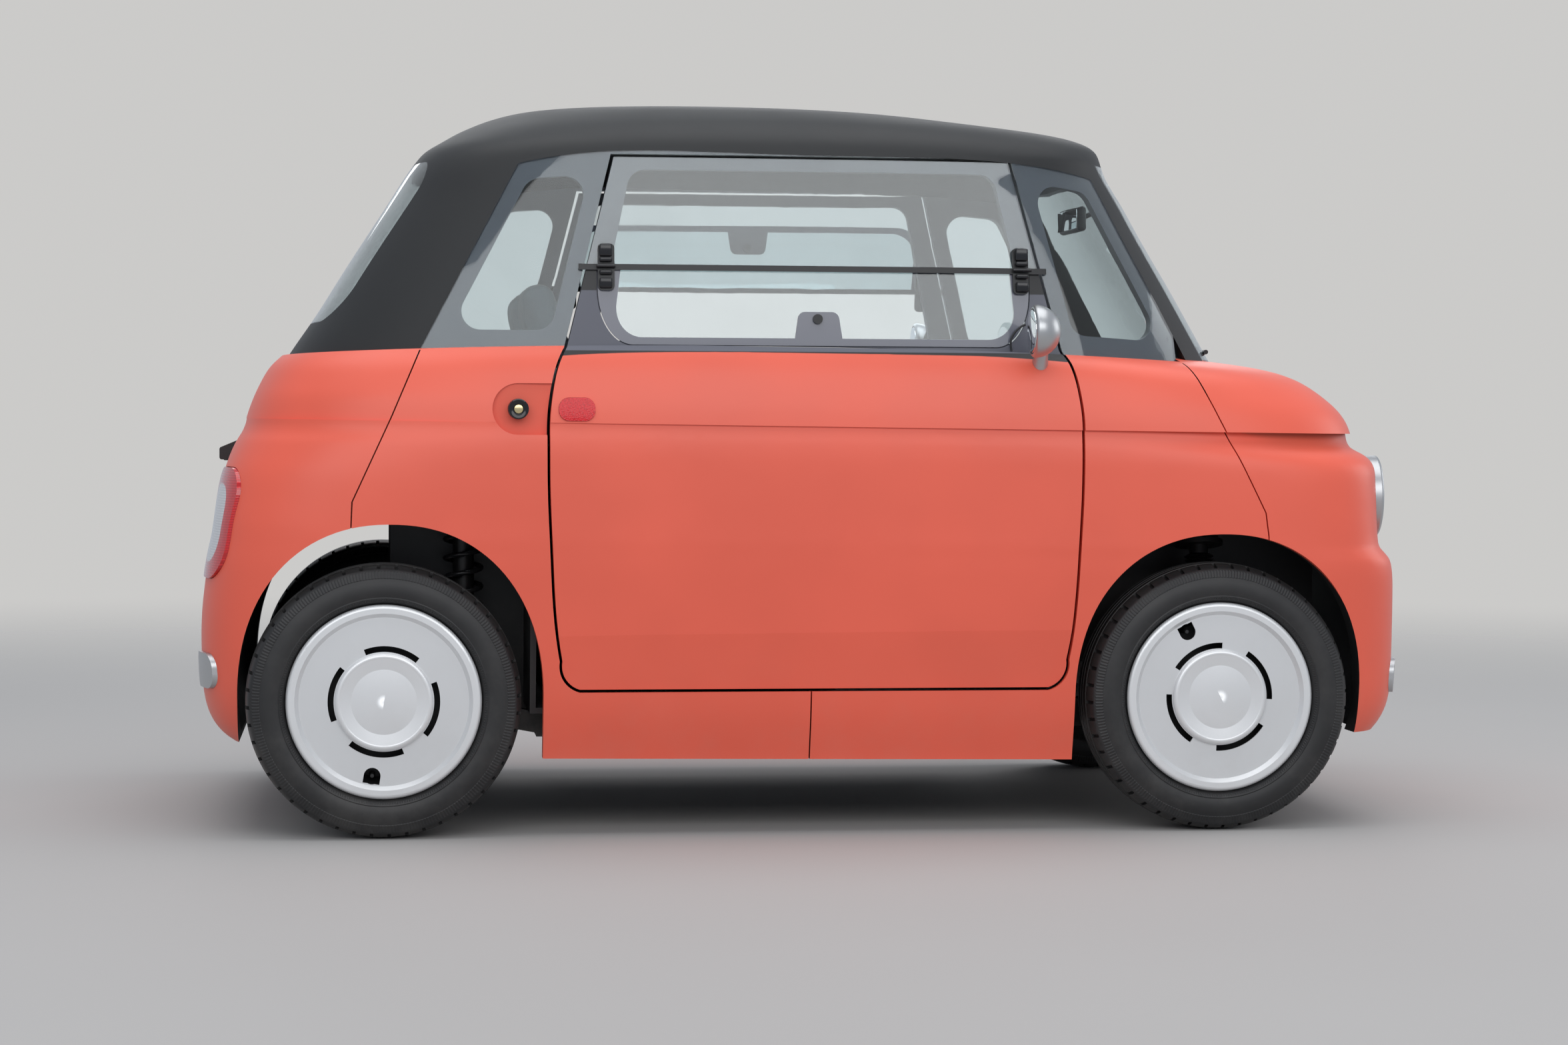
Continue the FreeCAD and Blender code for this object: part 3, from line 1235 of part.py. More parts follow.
beam_x = size("rear_beam_x")
beam = across(size("rear_beam_radius"), beam_x, axle_z + size("beam_rise"), -size("rear_arm_y"),
              size("rear_arm_y"), LEFT)
axle = beam.fuse([trailing_arm(LEFT), trailing_arm(RIGHT)]).removeSplitter()
publish("rear_axle", axle)
damper_y = size("rear_damper_y")
damper_low = axle_z + size("beam_rise") + size("rear_beam_radius")
damper_top = size("shelf_z") - size("tower_thickness")
damper = Part.makeCylinder(size("rear_damper_radius"), damper_top - damper_low,
                           Vector(beam_x, damper_y, damper_low))
damper_seat = Part.makeCylinder(size("strut_cap_radius"), size("strut_cap_thickness"),
                                Vector(beam_x, damper_y, damper_low + size("upright_thickness")))
damper_cap = Part.makeCylinder(size("strut_cap_radius"), size("strut_cap_thickness"),
                               Vector(beam_x, damper_y, damper_top - size("strut_cap_thickness")))
damper = damper.fuse([damper_seat, damper_cap]).cut(axle)
publish("rear_dampers", pair(damper.removeSplitter()))

# Chassis frame: two rails, crossmembers and the towers that the struts bolt to

rail_length = "frame_front_x - frame_rear_x"
frame_parts = [
    bound_box("rail_right", rail_length, "rail_width", "rail_height",
              "frame_rear_x", "- rail_y - 0.5 rail_width", "rail_z"),
    bound_box("rail_left", rail_length, "rail_width", "rail_height",
              "frame_rear_x", "rail_y - 0.5 rail_width", "rail_z"),
]
CROSSMEMBERS = (
    ("frame_front_x - 0.5 crossmember_width", "rail_y"),
    ("front_axle_x - arm_spread", "rail_y"),
    ("floor_front_x - crossmember_width", "rail_y"),
    ("rear_pivot_x", "rear_arm_y + 0.5 rear_arm_width"),
    ("frame_rear_x + 0.5 crossmember_width", "rail_y"),
)
for index, (middle, reach) in enumerate(CROSSMEMBERS):
    doubled = " + ".join([reach, reach])
    negative = "- " + reach.replace("+", "-")
    frame_parts.append(bound_box("crossmember_%d" % index, "crossmember_width", doubled, "rail_height",
                                 middle + " - 0.5 crossmember_width", negative, "rail_z"))
for name, side in SIDES:
    mount_y = "rail_y - 0.5 rail_width" if side == LEFT else "- rail_y - 0.5 rail_width"
    frame_parts.append(bound_box("arm_mount_" + name, "arm_spread + arm_spread", "rail_width",
                                 "rail_z - kingpin_low_z + arm_thickness",
                                 "front_axle_x - arm_spread", mount_y,
                                 "kingpin_low_z - arm_thickness"))
    for end in ("front", "rear"):
        frame_parts.append(bound_box("jack_pad_%s_%s" % (end, name), "jack_pad_length", "rail_width",
                                     "jack_pad_drop", "jack_%s_x - 0.5 jack_pad_length" % end, mount_y,
                                     "rail_z - jack_pad_drop"))

# Tower middle and top, how far the top reaches out, then the rear, front and top of the inner wing
TOWERS = (
    ("front", "front_axle_x", "kingpin_top_z", "kingpin_top_y + strut_cap_radius",
     "floor_front_x + floor_thickness", "frame_front_x", "wing_front_top"),
    ("rear", "rear_beam_x", "shelf_z", "rear_damper_y + strut_cap_radius",
     "rear_wing_x", "floor_rear_x - floor_thickness", "shelf_z"),
)
for end, middle, top, reach, wing_rear, wing_front, wing_top in TOWERS:
    less_rear = " - " + wing_rear.replace(" + ", " - ")
    for name, side in SIDES:
        tag = "%s_%s" % (end, name)
        inner = "arm_inner_y - 0.5 rail_width"
        post_y = inner if side == LEFT else "- arm_inner_y"
        frame_parts.append(bound_box("tower_post_" + tag, "tower_half", "0.5 rail_width",
                                     top + " - wing_z", middle + " - 0.5 tower_half", post_y, "wing_z"))
        plate_y = inner if side == LEFT else "- " + reach.replace("+", "-")
        frame_parts.append(bound_box("tower_top_" + tag, "tower_half + tower_half",
                                     reach + " - arm_inner_y + 0.5 rail_width", "tower_thickness",
                                     middle + " - tower_half", plate_y, top + " - tower_thickness"))
        wing_y = "arm_inner_y - wing_thickness" if side == LEFT else "- arm_inner_y"
        frame_parts.append(bound_box("inner_wing_" + tag, wing_front + less_rear, "wing_thickness",
                                     wing_top + " - wing_z", wing_rear, wing_y, "wing_z"))
        for place, leg_x in (("rear", wing_rear), ("front", wing_front + " - crossmember_width")):
            frame_parts.append(bound_box("wing_leg_%s_%s" % (place, tag), "crossmember_width",
                                         "0.5 rail_width", "wing_z - rail_z + wing_thickness",
                                         leg_x, post_y, "rail_z"))
threads = []
for end, start in (("front", "frame_front_x - crossmember_width"), ("rear", "frame_rear_x")):
    thread = doc.addObject("Part::Cylinder", "tow_thread_" + end)
    bind(thread, "Radius", "tow_thread_radius")
    bind(thread, "Height", "crossmember_width")
    thread.Placement = Placement(ORIGIN, Rotation(Vector(0, 1, 0), 90))
    settle(thread, start, "- tow_y", "rail_z + 0.5 rail_height")
    threads.append(thread)
frame = doc.addObject("Part::Cut", "chassis_frame")
frame.Base = joined("frame_members", frame_parts)
frame.Tool = joined("tow_threads", threads)
keep(frame, "chassis_frame")

# Floor with toe board, rear bulkhead and shelf, all one pressing, and the cowl ahead of it

floor_z = size("floor_z")
sheet_thick = size("floor_thickness")
room_wall = wall + size("frame_gap")
body_room = whole_body(room_wall, room_wall)
floor_front = size("floor_front_x")
floor_rear = size("floor_rear_x")
floor_parts = [
    block(floor_rear, floor_front + sheet_thick, -wide, wide, floor_z, floor_z + sheet_thick),
    block(floor_front, floor_front + sheet_thick, -wide, wide, floor_z, size("dash_low")),
    block(floor_rear - sheet_thick, floor_rear, -wide, wide, floor_z, size("bulkhead_top")),
]
shelf = block(size("shelf_rear_x"), floor_rear, -size("shelf_half"), size("shelf_half"),
              size("shelf_z"), size("shelf_z") + sheet_thick)
floor_plate = floor_parts[0].fuse(floor_parts[1:]).common(body_room)
floor_plate = floor_plate.fuse(shelf).removeSplitter()
publish("floor_pan", floor_plate)
cowl_top = size("dash_top")
cowl = block(size("dash_front_x"), far, -wide, wide, cowl_top - sheet_thick, cowl_top).common(body_room)
publish("cowl_panel", cowl)

# Heavy closed masses

battery = bound_box("battery_pack", "battery_length", "battery_width", "battery_height",
                    "battery_x", "- 0.5 battery_width", "floor_z + floor_thickness")
keep(battery, "battery_pack")
drive = bound_box("drive_unit", "drive_unit_width", "drive_unit_half_length + drive_unit_half_length",
                  "drive_unit_height", "front_axle_x - 0.5 drive_unit_width",
                  "- drive_unit_half_length", "rail_z + rail_height")
keep(drive, "drive_unit")
shafts = []
for name, side in SIDES:
    start = size("drive_unit_half_length")
    end = size("drive_shaft_end_y")
    bar = across(size("drive_shaft_radius"), front_axle_x, axle_z, start, end, side)
    boot = across(size("boot_radius"), front_axle_x, axle_z, start, start + size("boot_length"), side)
    outer_boot = across(size("boot_radius"), front_axle_x, axle_z, end - size("boot_length"), end, side)
    shafts.append(bar.fuse([boot, outer_boot]).removeSplitter())
publish("drive_shafts", Part.makeCompound(shafts))

# Dashboard, steering and seats

DASH_CORNERS = [
    ("dash_rear_x", "dash_low"), ("dash_rear_x", "0.3 dash_low + 0.7 dash_top"),
    ("0.88 dash_rear_x + 0.12 dash_front_x", "0.1 dash_low + 0.9 dash_top"),
    ("0.6 dash_rear_x + 0.4 dash_front_x", "dash_top"),
    ("dash_front_x", "dash_top"), ("dash_front_x", "dash_low"),
]
DASH_HOLLOW_CORNERS = [
    ("dash_rear_x + shell_thickness", "dash_low"),
    ("dash_rear_x + shell_thickness", "0.3 dash_low + 0.7 dash_top - shell_thickness"),
    ("0.88 dash_rear_x + 0.12 dash_front_x + shell_thickness",
     "0.1 dash_low + 0.9 dash_top - shell_thickness"),
    ("dash_front_x - shell_thickness", "dash_top - shell_thickness"),
    ("dash_front_x - shell_thickness", "dash_low"),
]
dash = drawn_body("dashboard", DASH_CORNERS, "dash_half + dash_half")
hollow_sketch = profile(dash, "dashboard_hollow", "XZ_Plane", DASH_HOLLOW_CORNERS)
pocket_feature = dash.newObject("PartDesign::Pocket", "dashboard_open_underside")
pocket_feature.Profile = hollow_sketch
pocket_feature.Midplane = True
bind(pocket_feature, "Length", "dash_half + dash_half - shell_thickness - shell_thickness")
keep(dash, "dashboard")

wheel_spot = Vector(size("wheel_x"), size("seat_y"), size("wheel_z"))
wheel_turn = Rotation(Vector(0, 1, 0), -90 + size("wheel_tilt"))
wheel_place = Placement(wheel_spot, wheel_turn)
rim_radius = size("wheel_rim_radius")
wheel_radius = size("steering_wheel_radius") - rim_radius
boss_length = size("wheel_boss_length")
ring = Part.makeTorus(wheel_radius, rim_radius)
boss = Part.makeCylinder(size("wheel_boss_radius"), boss_length, Vector(0, 0, -boss_length))
spoke_half = size("spoke_width") / 2
spoke_thick = size("spoke_thickness")
spokes = [block(-spoke_half, spoke_half, -wheel_radius, wheel_radius, -spoke_thick, 0),
          block(-wheel_radius, 0, -spoke_half, spoke_half, -spoke_thick, 0)]
steering = ring.fuse([boss] + spokes).removeSplitter()
publish("steering_wheel", steering, wheel_place)
column_run = (size("dash_rear_x") - wheel_spot.x) / math.cos(math.radians(size("wheel_tilt")))
column = Part.makeCylinder(size("column_radius"), column_run, Vector(0, 0, -boss_length - column_run))
column.translate(Vector(0, 0, -size("column_gap")))
column.Placement = wheel_place.multiply(column.Placement)
column = column.common(block(-far, size("dash_rear_x"), -wide, wide, 0, height))
publish("steering_column", column)

seat_half = size("seat_width") / 2
cushion_rear = size("cushion_rear_x")
cushion_front = size("cushion_front_x")
pan_low = size("cushion_low") - size("shell_thickness")
lean = size("back_lean")
shells = []
for name, side in SIDES:
    y0 = side * size("seat_y") - seat_half
    y1 = side * size("seat_y") + seat_half
    pan = block(cushion_rear - size("shell_thickness"), cushion_front, y0, y1, pan_low,
                size("cushion_low"))
    back = block(cushion_rear - size("shell_thickness"), cushion_rear, y0, y1, pan_low,
                 pan_low + size("back_height"))
    back.rotate(Vector(cushion_rear, 0, pan_low), Vector(0, 1, 0), -lean)
    leg_y = y1 - size("shell_thickness") if side == LEFT else y0
    leg = block(cushion_rear, cushion_front, leg_y, leg_y + size("shell_thickness"),
                floor_z + sheet_thick, pan_low)
    shells.append(pan.fuse([back, leg]).removeSplitter())
publish("seat_shells", Part.makeCompound(shells))
soft = size("soft_gap")
bases = []
backs = []
for name, side in SIDES:
    y0 = side * size("seat_y") - seat_half
    y1 = side * size("seat_y") + seat_half
    low = size("cushion_low") + soft
    base = block(cushion_rear + size("back_thickness"), cushion_front, y0, y1, low,
                 low + size("cushion_thickness"))
    bases.append(base.makeFillet(size("cushion_round"), base.Edges))
    back = block(cushion_rear + soft, cushion_rear + size("back_thickness") - soft, y0, y1, low + soft,
                 pan_low + size("back_height"))
    back = back.makeFillet(size("cushion_round"), back.Edges)
    back.rotate(Vector(cushion_rear, 0, pan_low), Vector(0, 1, 0), -lean)
    backs.append(back)
publish("seat_cushions", Part.makeCompound(bases))
publish("seat_backrests", Part.makeCompound(backs))

# Checks, then one file for each sub-part

doc.recompute()
problems = []
for item in doc.Objects:
    if "Invalid" in item.State or "Error" in item.State:
        problems.append("%s is in a bad state" % item.Label)
for item in nodes:
    if item.Shape.isNull() or not item.Shape.isValid() or not item.Shape.Solids:
        problems.append("%s has no valid solid" % item.Label)
if problems:
    raise ValueError("; ".join(problems))
os.makedirs("parts", exist_ok=True)
for item in nodes:
    item.Shape.exportStep("parts/%s.step" % item.Label)
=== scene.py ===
import math

import bmesh
import bpy
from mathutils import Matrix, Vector


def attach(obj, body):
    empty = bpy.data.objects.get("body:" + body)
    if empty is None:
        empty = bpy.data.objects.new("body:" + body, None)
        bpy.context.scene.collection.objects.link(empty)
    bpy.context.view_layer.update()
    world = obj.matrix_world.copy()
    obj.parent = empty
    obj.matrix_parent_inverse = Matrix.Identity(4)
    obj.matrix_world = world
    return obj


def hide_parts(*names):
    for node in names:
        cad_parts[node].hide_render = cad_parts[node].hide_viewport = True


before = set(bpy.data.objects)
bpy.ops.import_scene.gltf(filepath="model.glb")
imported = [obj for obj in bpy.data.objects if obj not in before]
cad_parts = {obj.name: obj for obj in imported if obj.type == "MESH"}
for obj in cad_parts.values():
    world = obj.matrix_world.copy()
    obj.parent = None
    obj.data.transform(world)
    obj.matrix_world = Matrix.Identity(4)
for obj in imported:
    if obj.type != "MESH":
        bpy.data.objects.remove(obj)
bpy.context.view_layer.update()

bl_info = {
    "name": "Electric microcar dressing",
    "version": (1, 0, 0),
    "blender": (4, 5, 0),
    "location": "3D View > Sidebar > Microcar",
    "description": "Finishes, tyres, lamps, door fittings and cabin around the packed microcar",
    "category": "Object",
}

SIDES = (("right", -1), ("left", 1))
AXLE_X = {"front": 0.843, "rear": -0.885}
AXLE_HEIGHT = 0.2785
WHEEL_PLANE = 0.592


def colour_property(name, description, default):
    return bpy.props.FloatVectorProperty(
        name=name, description=description, subtype="COLOR", size=3, min=0.0, max=1.0,
        default=default)


def length_property(name, description, default):
    return bpy.props.FloatProperty(
        name=name, description=description, default=default, subtype="DISTANCE", unit="LENGTH")


class MicrocarColours(bpy.types.PropertyGroup):
    """Colours of the visible finishes"""
    body: colour_property("Body", "Satin paint of the lower body", (0.800, 0.118, 0.068))
    roof: colour_property("Roof", "Dark moulded roof, rear cap and screen strips", (0.011, 0.012, 0.013))
    trim: colour_property("Trim", "Black plastic fittings", (0.010, 0.010, 0.011))
    # Window border tone: a dark printed border lifted to grey-blue, which is a painted sky reflection of
    # the glass over it
    frit_and_painted_reflection: colour_property("Window border", "Printed border behind the panes", (0.115, 0.120, 0.150))
    glass: colour_property("Glass", "Tint of the panes", (0.80, 0.88, 0.90))
    cover: colour_property("Wheel cover", "Silver-white wheel covers", (0.76, 0.77, 0.78))
    rubber: colour_property("Tyre", "Tyre rubber", (0.013, 0.013, 0.014))
    cloth: colour_property("Cloth", "Cloth of the pads", (0.24, 0.29, 0.33))
    floor: colour_property("Floor", "Studio floor", (0.43, 0.42, 0.41))


class MicrocarSizes(bpy.types.PropertyGroup):
    """Sizes of the modelled details, in metres"""
    tread_depth: length_property("Tread depth", "Depth of the tread grooves", 0.006)
    floor_reach: length_property("Floor reach", "Half size of the floor", 30.0)


def tint_of(name):
    """A colour that the panel gives, as plain numbers"""
    return tuple(getattr(bpy.context.scene.microcar_colours, name))


def sizes():
    return bpy.context.scene.microcar_sizes


# Shader helpers

def node(tree, kind, **values):
    made = tree.nodes.new(kind)
    for key, value in values.items():
        if key in made.inputs:
            made.inputs[key].default_value = value
        else:
            setattr(made, key, value)
    return made


def link(tree, source, target):
    tree.links.new(source, target)


def math_node(tree, operation, *terms, clamp=False):
    made = tree.nodes.new("ShaderNodeMath")
    made.operation = operation
    made.use_clamp = clamp
    for index, term in enumerate(terms):
        if isinstance(term, (int, float)):
            made.inputs[index].default_value = term
        else:
            link(tree, term, made.inputs[index])
    return made.outputs[0]


def ramp_between(tree, value, low, high):
    """0 below low, 1 above high, smooth between them"""
    made = node(tree, "ShaderNodeMapRange", interpolation_type="SMOOTHSTEP")
    made.inputs["From Min"].default_value = low
    made.inputs["From Max"].default_value = high
    link(tree, value, made.inputs["Value"])
    return made.outputs["Result"]


def mix_colour(tree, factor, low, high):
    made = node(tree, "ShaderNodeMix", data_type="RGBA")
    if isinstance(factor, (int, float)):
        made.inputs[0].default_value = factor
    else:
        link(tree, factor, made.inputs[0])
    for index, value in ((6, low), (7, high)):
        if isinstance(value, bpy.types.NodeSocket):
            link(tree, value, made.inputs[index])
        else:
            made.inputs[index].default_value = (*value, 1.0)
    return made.outputs[2]


def opposite(tree, mask):
    """1 where a mask is 0, and 0 where it is 1"""
    return math_node(tree, "SUBTRACT", 1.0, mask)


def band_between(tree, value, low, high):
    """1 between low and high, with soft edges a thousandth wide"""
    start = ramp_between(tree, value, low, low + 0.001)
    end = ramp_between(tree, value, high - 0.001, high)
    return math_node(tree, "MULTIPLY", start, opposite(tree, end))


def parts_of(tree, place):
    """The X, Y and Z outputs of a place"""
    split = node(tree, "ShaderNodeSeparateXYZ")
    link(tree, place, split.inputs[0])
    return split.outputs


def from_axle(tree, parts, axle_x):
    """Distances from an axle: along the car, up, and straight out"""
    along = math_node(tree, "SUBTRACT", parts["X"], axle_x)
    up = math_node(tree, "SUBTRACT", parts["Z"], AXLE_HEIGHT)
    squares = math_node(tree, "ADD", math_node(tree, "MULTIPLY", along, along),
                        math_node(tree, "MULTIPLY", up, up))
    return along, up, math_node(tree, "SQRT", squares)


def coordinates(tree):
    """Outputs of the Texture Coordinate node that a material already has"""
    return next(item for item in tree.nodes if item.type == "TEX_COORD").outputs


def group_of(name, inputs, outputs):
    tree = bpy.data.node_groups.new(name, "ShaderNodeTree")
    for label, kind, default in inputs:
        socket = tree.interface.new_socket(name=label, in_out="INPUT", socket_type=kind)
        if default is not None:
            socket.default_value = default
    for label, kind in outputs:
        tree.interface.new_socket(name=label, in_out="OUTPUT", socket_type=kind)
    return tree, tree.nodes.new("NodeGroupInput"), tree.nodes.new("NodeGroupOutput")


def build_grain_group():
    """Fine moulded grain: a height and a slow change of tone"""
    tree, start, end = group_of(
        "Moulded grain",
        (("Vector", "NodeSocketVector", None), ("Scale", "NodeSocketFloat", 900.0)),
        (("Height", "NodeSocketFloat"), ("Tone", "NodeSocketFloat")))
    fine = node(tree, "ShaderNodeTexNoise", Detail=3.0, Roughness=0.6)
    link(tree, start.outputs["Vector"], fine.inputs["Vector"])
    link(tree, start.outputs["Scale"], fine.inputs["Scale"])
    slow = node(tree, "ShaderNodeTexNoise", Scale=3.5, Detail=2.0)
    link(tree, start.outputs["Vector"], slow.inputs["Vector"])
    link(tree, fine.outputs["Fac"], end.inputs["Height"])
    link(tree, slow.outputs["Fac"], end.inputs["Tone"])
    return tree


def build_dust_group():
    """Road dust: a mask that is stronger towards the ground"""
    tree, start, end = group_of(
        "Road dust",
        (("Vector", "NodeSocketVector", None), ("Top", "NodeSocketFloat", 0.5)),
        (("Mask", "NodeSocketFloat"),))
    parts = parts_of(tree, start.outputs["Vector"])
    share = math_node(tree, "DIVIDE", parts["Z"], start.outputs["Top"])
    low = math_node(tree, "SUBTRACT", 1.0, share, clamp=True)
    patches = node(tree, "ShaderNodeTexNoise", Scale=9.0, Detail=5.0, Roughness=0.65)
    link(tree, start.outputs["Vector"], patches.inputs["Vector"])
    spots = ramp_between(tree, patches.outputs["Fac"], 0.38, 0.72)
    link(tree, math_node(tree, "MULTIPLY", low, spots, clamp=True), end.inputs["Mask"])
    return tree


def shader(name):
    material = bpy.data.materials.new(name)
    material.use_nodes = True
    tree = material.node_tree
    principled = tree.nodes["Principled BSDF"]
    place = node(tree, "ShaderNodeTexCoord")
    return material, tree, principled, place.outputs["Object"]


def use_group(tree, name, place, **values):
    made = tree.nodes.new("ShaderNodeGroup")
    made.node_tree = bpy.data.node_groups[name]
    link(tree, place, made.inputs["Vector"])
    for key, value in values.items():
        made.inputs[key].default_value = value
    return made


def bump_into(tree, principled, height, strength, distance):
    bump = node(tree, "ShaderNodeBump", Strength=strength, Distance=distance)
    link(tree, height, bump.inputs["Height"])
    link(tree, bump.outputs["Normal"], principled.inputs["Normal"])
    return bump


def tinted(colour, factor):
    return tuple(min(1.0, channel * factor) for channel in colour)


def grained(name, colour, roughness, scale=900.0, depth=0.0003, strength=0.35, dust=0.0,
            metallic=0.0, variation=0.12, dust_top=0.5):
    """Moulded plastic or painted sheet with grain, a slow change of tone and dust low down"""
    material, tree, principled, place = shader(name)
    grain = use_group(tree, "Moulded grain", place, Scale=scale)
    tone = ramp_between(tree, grain.outputs["Tone"], 0.3, 0.7)
    base = mix_colour(tree, tone, tinted(colour, 1 - variation), tinted(colour, 1 + variation))
    rough_low = math_node(tree, "MULTIPLY_ADD", tone, 0.06, roughness - 0.03)
    if dust:
        mask = use_group(tree, "Road dust", place, Top=dust_top).outputs["Mask"]
        mask = math_node(tree, "MULTIPLY", mask, dust)
        base = mix_colour(tree, mask, base, (0.30, 0.27, 0.23))
        rough_low = math_node(tree, "MULTIPLY_ADD", mask, 0.3, rough_low, clamp=True)
    link(tree, base, principled.inputs["Base Color"])
    link(tree, rough_low, principled.inputs["Roughness"])
    principled.inputs["Metallic"].default_value = metallic
    bump_into(tree, principled, grain.outputs["Height"], strength, depth)
    return material


WAIST_LINE = 0.990
FLAP_BAR = 1.161


def body_paint(name, doors=False):
    """Satin coral paint; on the doors the frame above the waist is the printed border of the glass, in a
    grey-blue tone that is partly a painted sky reflection
    """
    tint = tint_of("body")
    material, tree, principled, place = shader(name)
    grain = use_group(tree, "Moulded grain", place, Scale=1500.0)
    tone = ramp_between(tree, grain.outputs["Tone"], 0.3, 0.7)
    base = mix_colour(tree, tone, tinted(tint, 0.97), tinted(tint, 1.03))
    rough = math_node(tree, "MULTIPLY_ADD", tone, 0.04, 0.40)
    mask = use_group(tree, "Road dust", place, Top=0.42).outputs["Mask"]
    mask = math_node(tree, "MULTIPLY", mask, 0.10)
    base = mix_colour(tree, mask, base, (0.42, 0.30, 0.24))
    parts = parts_of(tree, place)
    depth = math_node(tree, "ABSOLUTE", parts["Y"])
    if not doors:
        facing = coordinates(tree)["Normal"]
        middle = node(tree, "ShaderNodeVectorMath", operation="SUBTRACT")
        link(tree, place, middle.inputs[0])
        middle.inputs[1].default_value = (0.0, 0.0, 0.6)
        outward = node(tree, "ShaderNodeVectorMath", operation="DOT_PRODUCT")
        link(tree, middle.outputs["Vector"], outward.inputs[0])
        link(tree, facing, outward.inputs[1])
        back = math_node(tree, "LESS_THAN", outward.outputs["Value"], 0.0)
        inboard = math_node(tree, "LESS_THAN", depth, 0.665)
        unseen = math_node(tree, "MULTIPLY", back, inboard)
        base = mix_colour(tree, unseen, base, tint_of("trim"))
        rough = math_node(tree, "MULTIPLY_ADD", unseen, 0.15, rough)
    else:
        above = ramp_between(tree, parts["Z"], WAIST_LINE, WAIST_LINE + 0.001)
        inner = opposite(tree, ramp_between(tree, depth, 0.6605, 0.6615))
        dark = math_node(tree, "MAXIMUM", above, inner)
        # Above the waist the frame takes the window border tone, whose grey-blue is a painted sky
        # reflection; the inner faces below it are black trim
        frame_tone_with_painted_reflection = mix_colour(tree, above, tint_of("trim"), tint_of("frit_and_painted_reflection"))
        base = mix_colour(tree, dark, base, frame_tone_with_painted_reflection)
        rough = math_node(tree, "MULTIPLY_ADD", dark, 0.12, rough)
    link(tree, base, principled.inputs["Base Color"])
    link(tree, rough, principled.inputs["Roughness"])
    principled.inputs["Coat Weight"].default_value = 0.12
    principled.inputs["Coat Roughness"].default_value = 0.35
    bump_into(tree, principled, grain.outputs["Height"], 0.12, 0.0001)
    return material


def pane_glass(name, tint, roughness=0.015, border=None):
    """Tinted glass; border is a function that gives the mask of its printed border, which takes the
    window border tone, partly a painted sky reflection
    """
    material, tree, principled, place = shader(name)
    smear = node(tree, "ShaderNodeTexNoise", Scale=6.0, Detail=4.0)
    link(tree, place, smear.inputs["Vector"])
    haze = ramp_between(tree, smear.outputs["Fac"], 0.45, 0.8)
    rough = math_node(tree, "MULTIPLY_ADD", haze, 0.03, roughness)
    base = mix_colour(tree, haze, tint, tinted(tint, 0.96))
    if border is None:
        principled.inputs["Transmission Weight"].default_value = 1.0
    else:
        border_and_painted_reflection_mask = border(tree, place)
        # The printed border is opaque and takes the window border tone: dark print lifted to grey-blue
        # as a painted sky reflection
        base = mix_colour(tree, border_and_painted_reflection_mask, base, tint_of("frit_and_painted_reflection"))
        rough = math_node(tree, "MULTIPLY_ADD", border_and_painted_reflection_mask, 0.22, rough)
        link(tree, opposite(tree, border_and_painted_reflection_mask), principled.inputs["Transmission Weight"])
        principled.inputs["Coat Weight"].default_value = 0.5
    link(tree, rough, principled.inputs["Roughness"])
    link(tree, base, principled.inputs["Base Color"])
    principled.inputs["IOR"].default_value = 1.45
    return material


def corner_round(tree, gap_across, gap_up, reach_across, reach_up):
    """Over 1 outside a rounded corner, from the distances to its two sides"""
    terms = []
    for gap, reach in ((gap_across, reach_across), (gap_up, reach_up)):
        share = opposite(tree, math_node(tree, "DIVIDE", gap, reach))
        share = math_node(tree, "MAXIMUM", share, 0.0)
        terms.append(math_node(tree, "MULTIPLY", share, share))
    return math_node(tree, "ADD", *terms)


def hinge_trim(name):
    """Black bar and brackets; the corner pieces below them take the tone of the printed border, a
    grey-blue that is partly a painted sky reflection
    """
    material = grained(name, tint_of("trim"), 0.42, scale=1200.0, strength=0.45)
    tree = material.node_tree
    principled = tree.nodes["Principled BSDF"]
    black = principled.inputs["Base Color"].links[0].from_socket
    parts = parts_of(tree, coordinates(tree)["Object"])
    # Below the bar the corner pieces take a darker window border tone: painted sky reflection over the
    # dark print
    low = opposite(tree, ramp_between(tree, parts["Z"], 1.112, 1.114))
    base = mix_colour(tree, low, black, tinted(tint_of("frit_and_painted_reflection"), 0.85))
    link(tree, base, principled.inputs["Base Color"])
    return material


def flap_border(raised):
    """Printed border of a window flap: rounded lower corners and a tab round the latch"""
    def mask(tree, place):
        parts = parts_of(tree, place)
        along = parts["X"]
        height = parts["Z"]
        if raised:
            height = math_node(tree, "SUBTRACT", 2 * FLAP_BAR, height)
        low = math_node(tree, "SUBTRACT", height, 1.018)
        above = math_node(tree, "SUBTRACT", height, 1.080)
        rear_side = math_node(tree, "MULTIPLY_ADD", above, 0.125, -0.417)
        front_side = math_node(tree, "MULTIPLY_ADD", above, -0.090, 0.407)
        rear_gap = math_node(tree, "SUBTRACT", along, rear_side)
        front_gap = math_node(tree, "SUBTRACT", front_side, along)
        rear = corner_round(tree, rear_gap, low, 0.062, 0.069)
        front = corner_round(tree, front_gap, low, 0.062, 0.062)
        outside = ramp_between(tree, math_node(tree, "MAXIMUM", rear, front), 0.985, 1.015)
        from_latch = math_node(tree, "ABSOLUTE", math_node(tree, "ADD", along, 0.002))
        half = math_node(tree, "MULTIPLY_ADD", low, -0.15, 0.049)
        tab_side = math_node(tree, "SUBTRACT", half, from_latch)
        tab_top = math_node(tree, "SUBTRACT", 1.0725, height)
        tab = corner_round(tree, tab_side, tab_top, 0.013, 0.013)
        inside = opposite(tree, ramp_between(tree, tab, 0.95, 1.05))
        below_bar = math_node(tree, "LESS_THAN", height, 1.155)
        edge = math_node(tree, "MAXIMUM", outside, inside)
        return math_node(tree, "MULTIPLY", edge, below_bar)
    return mask


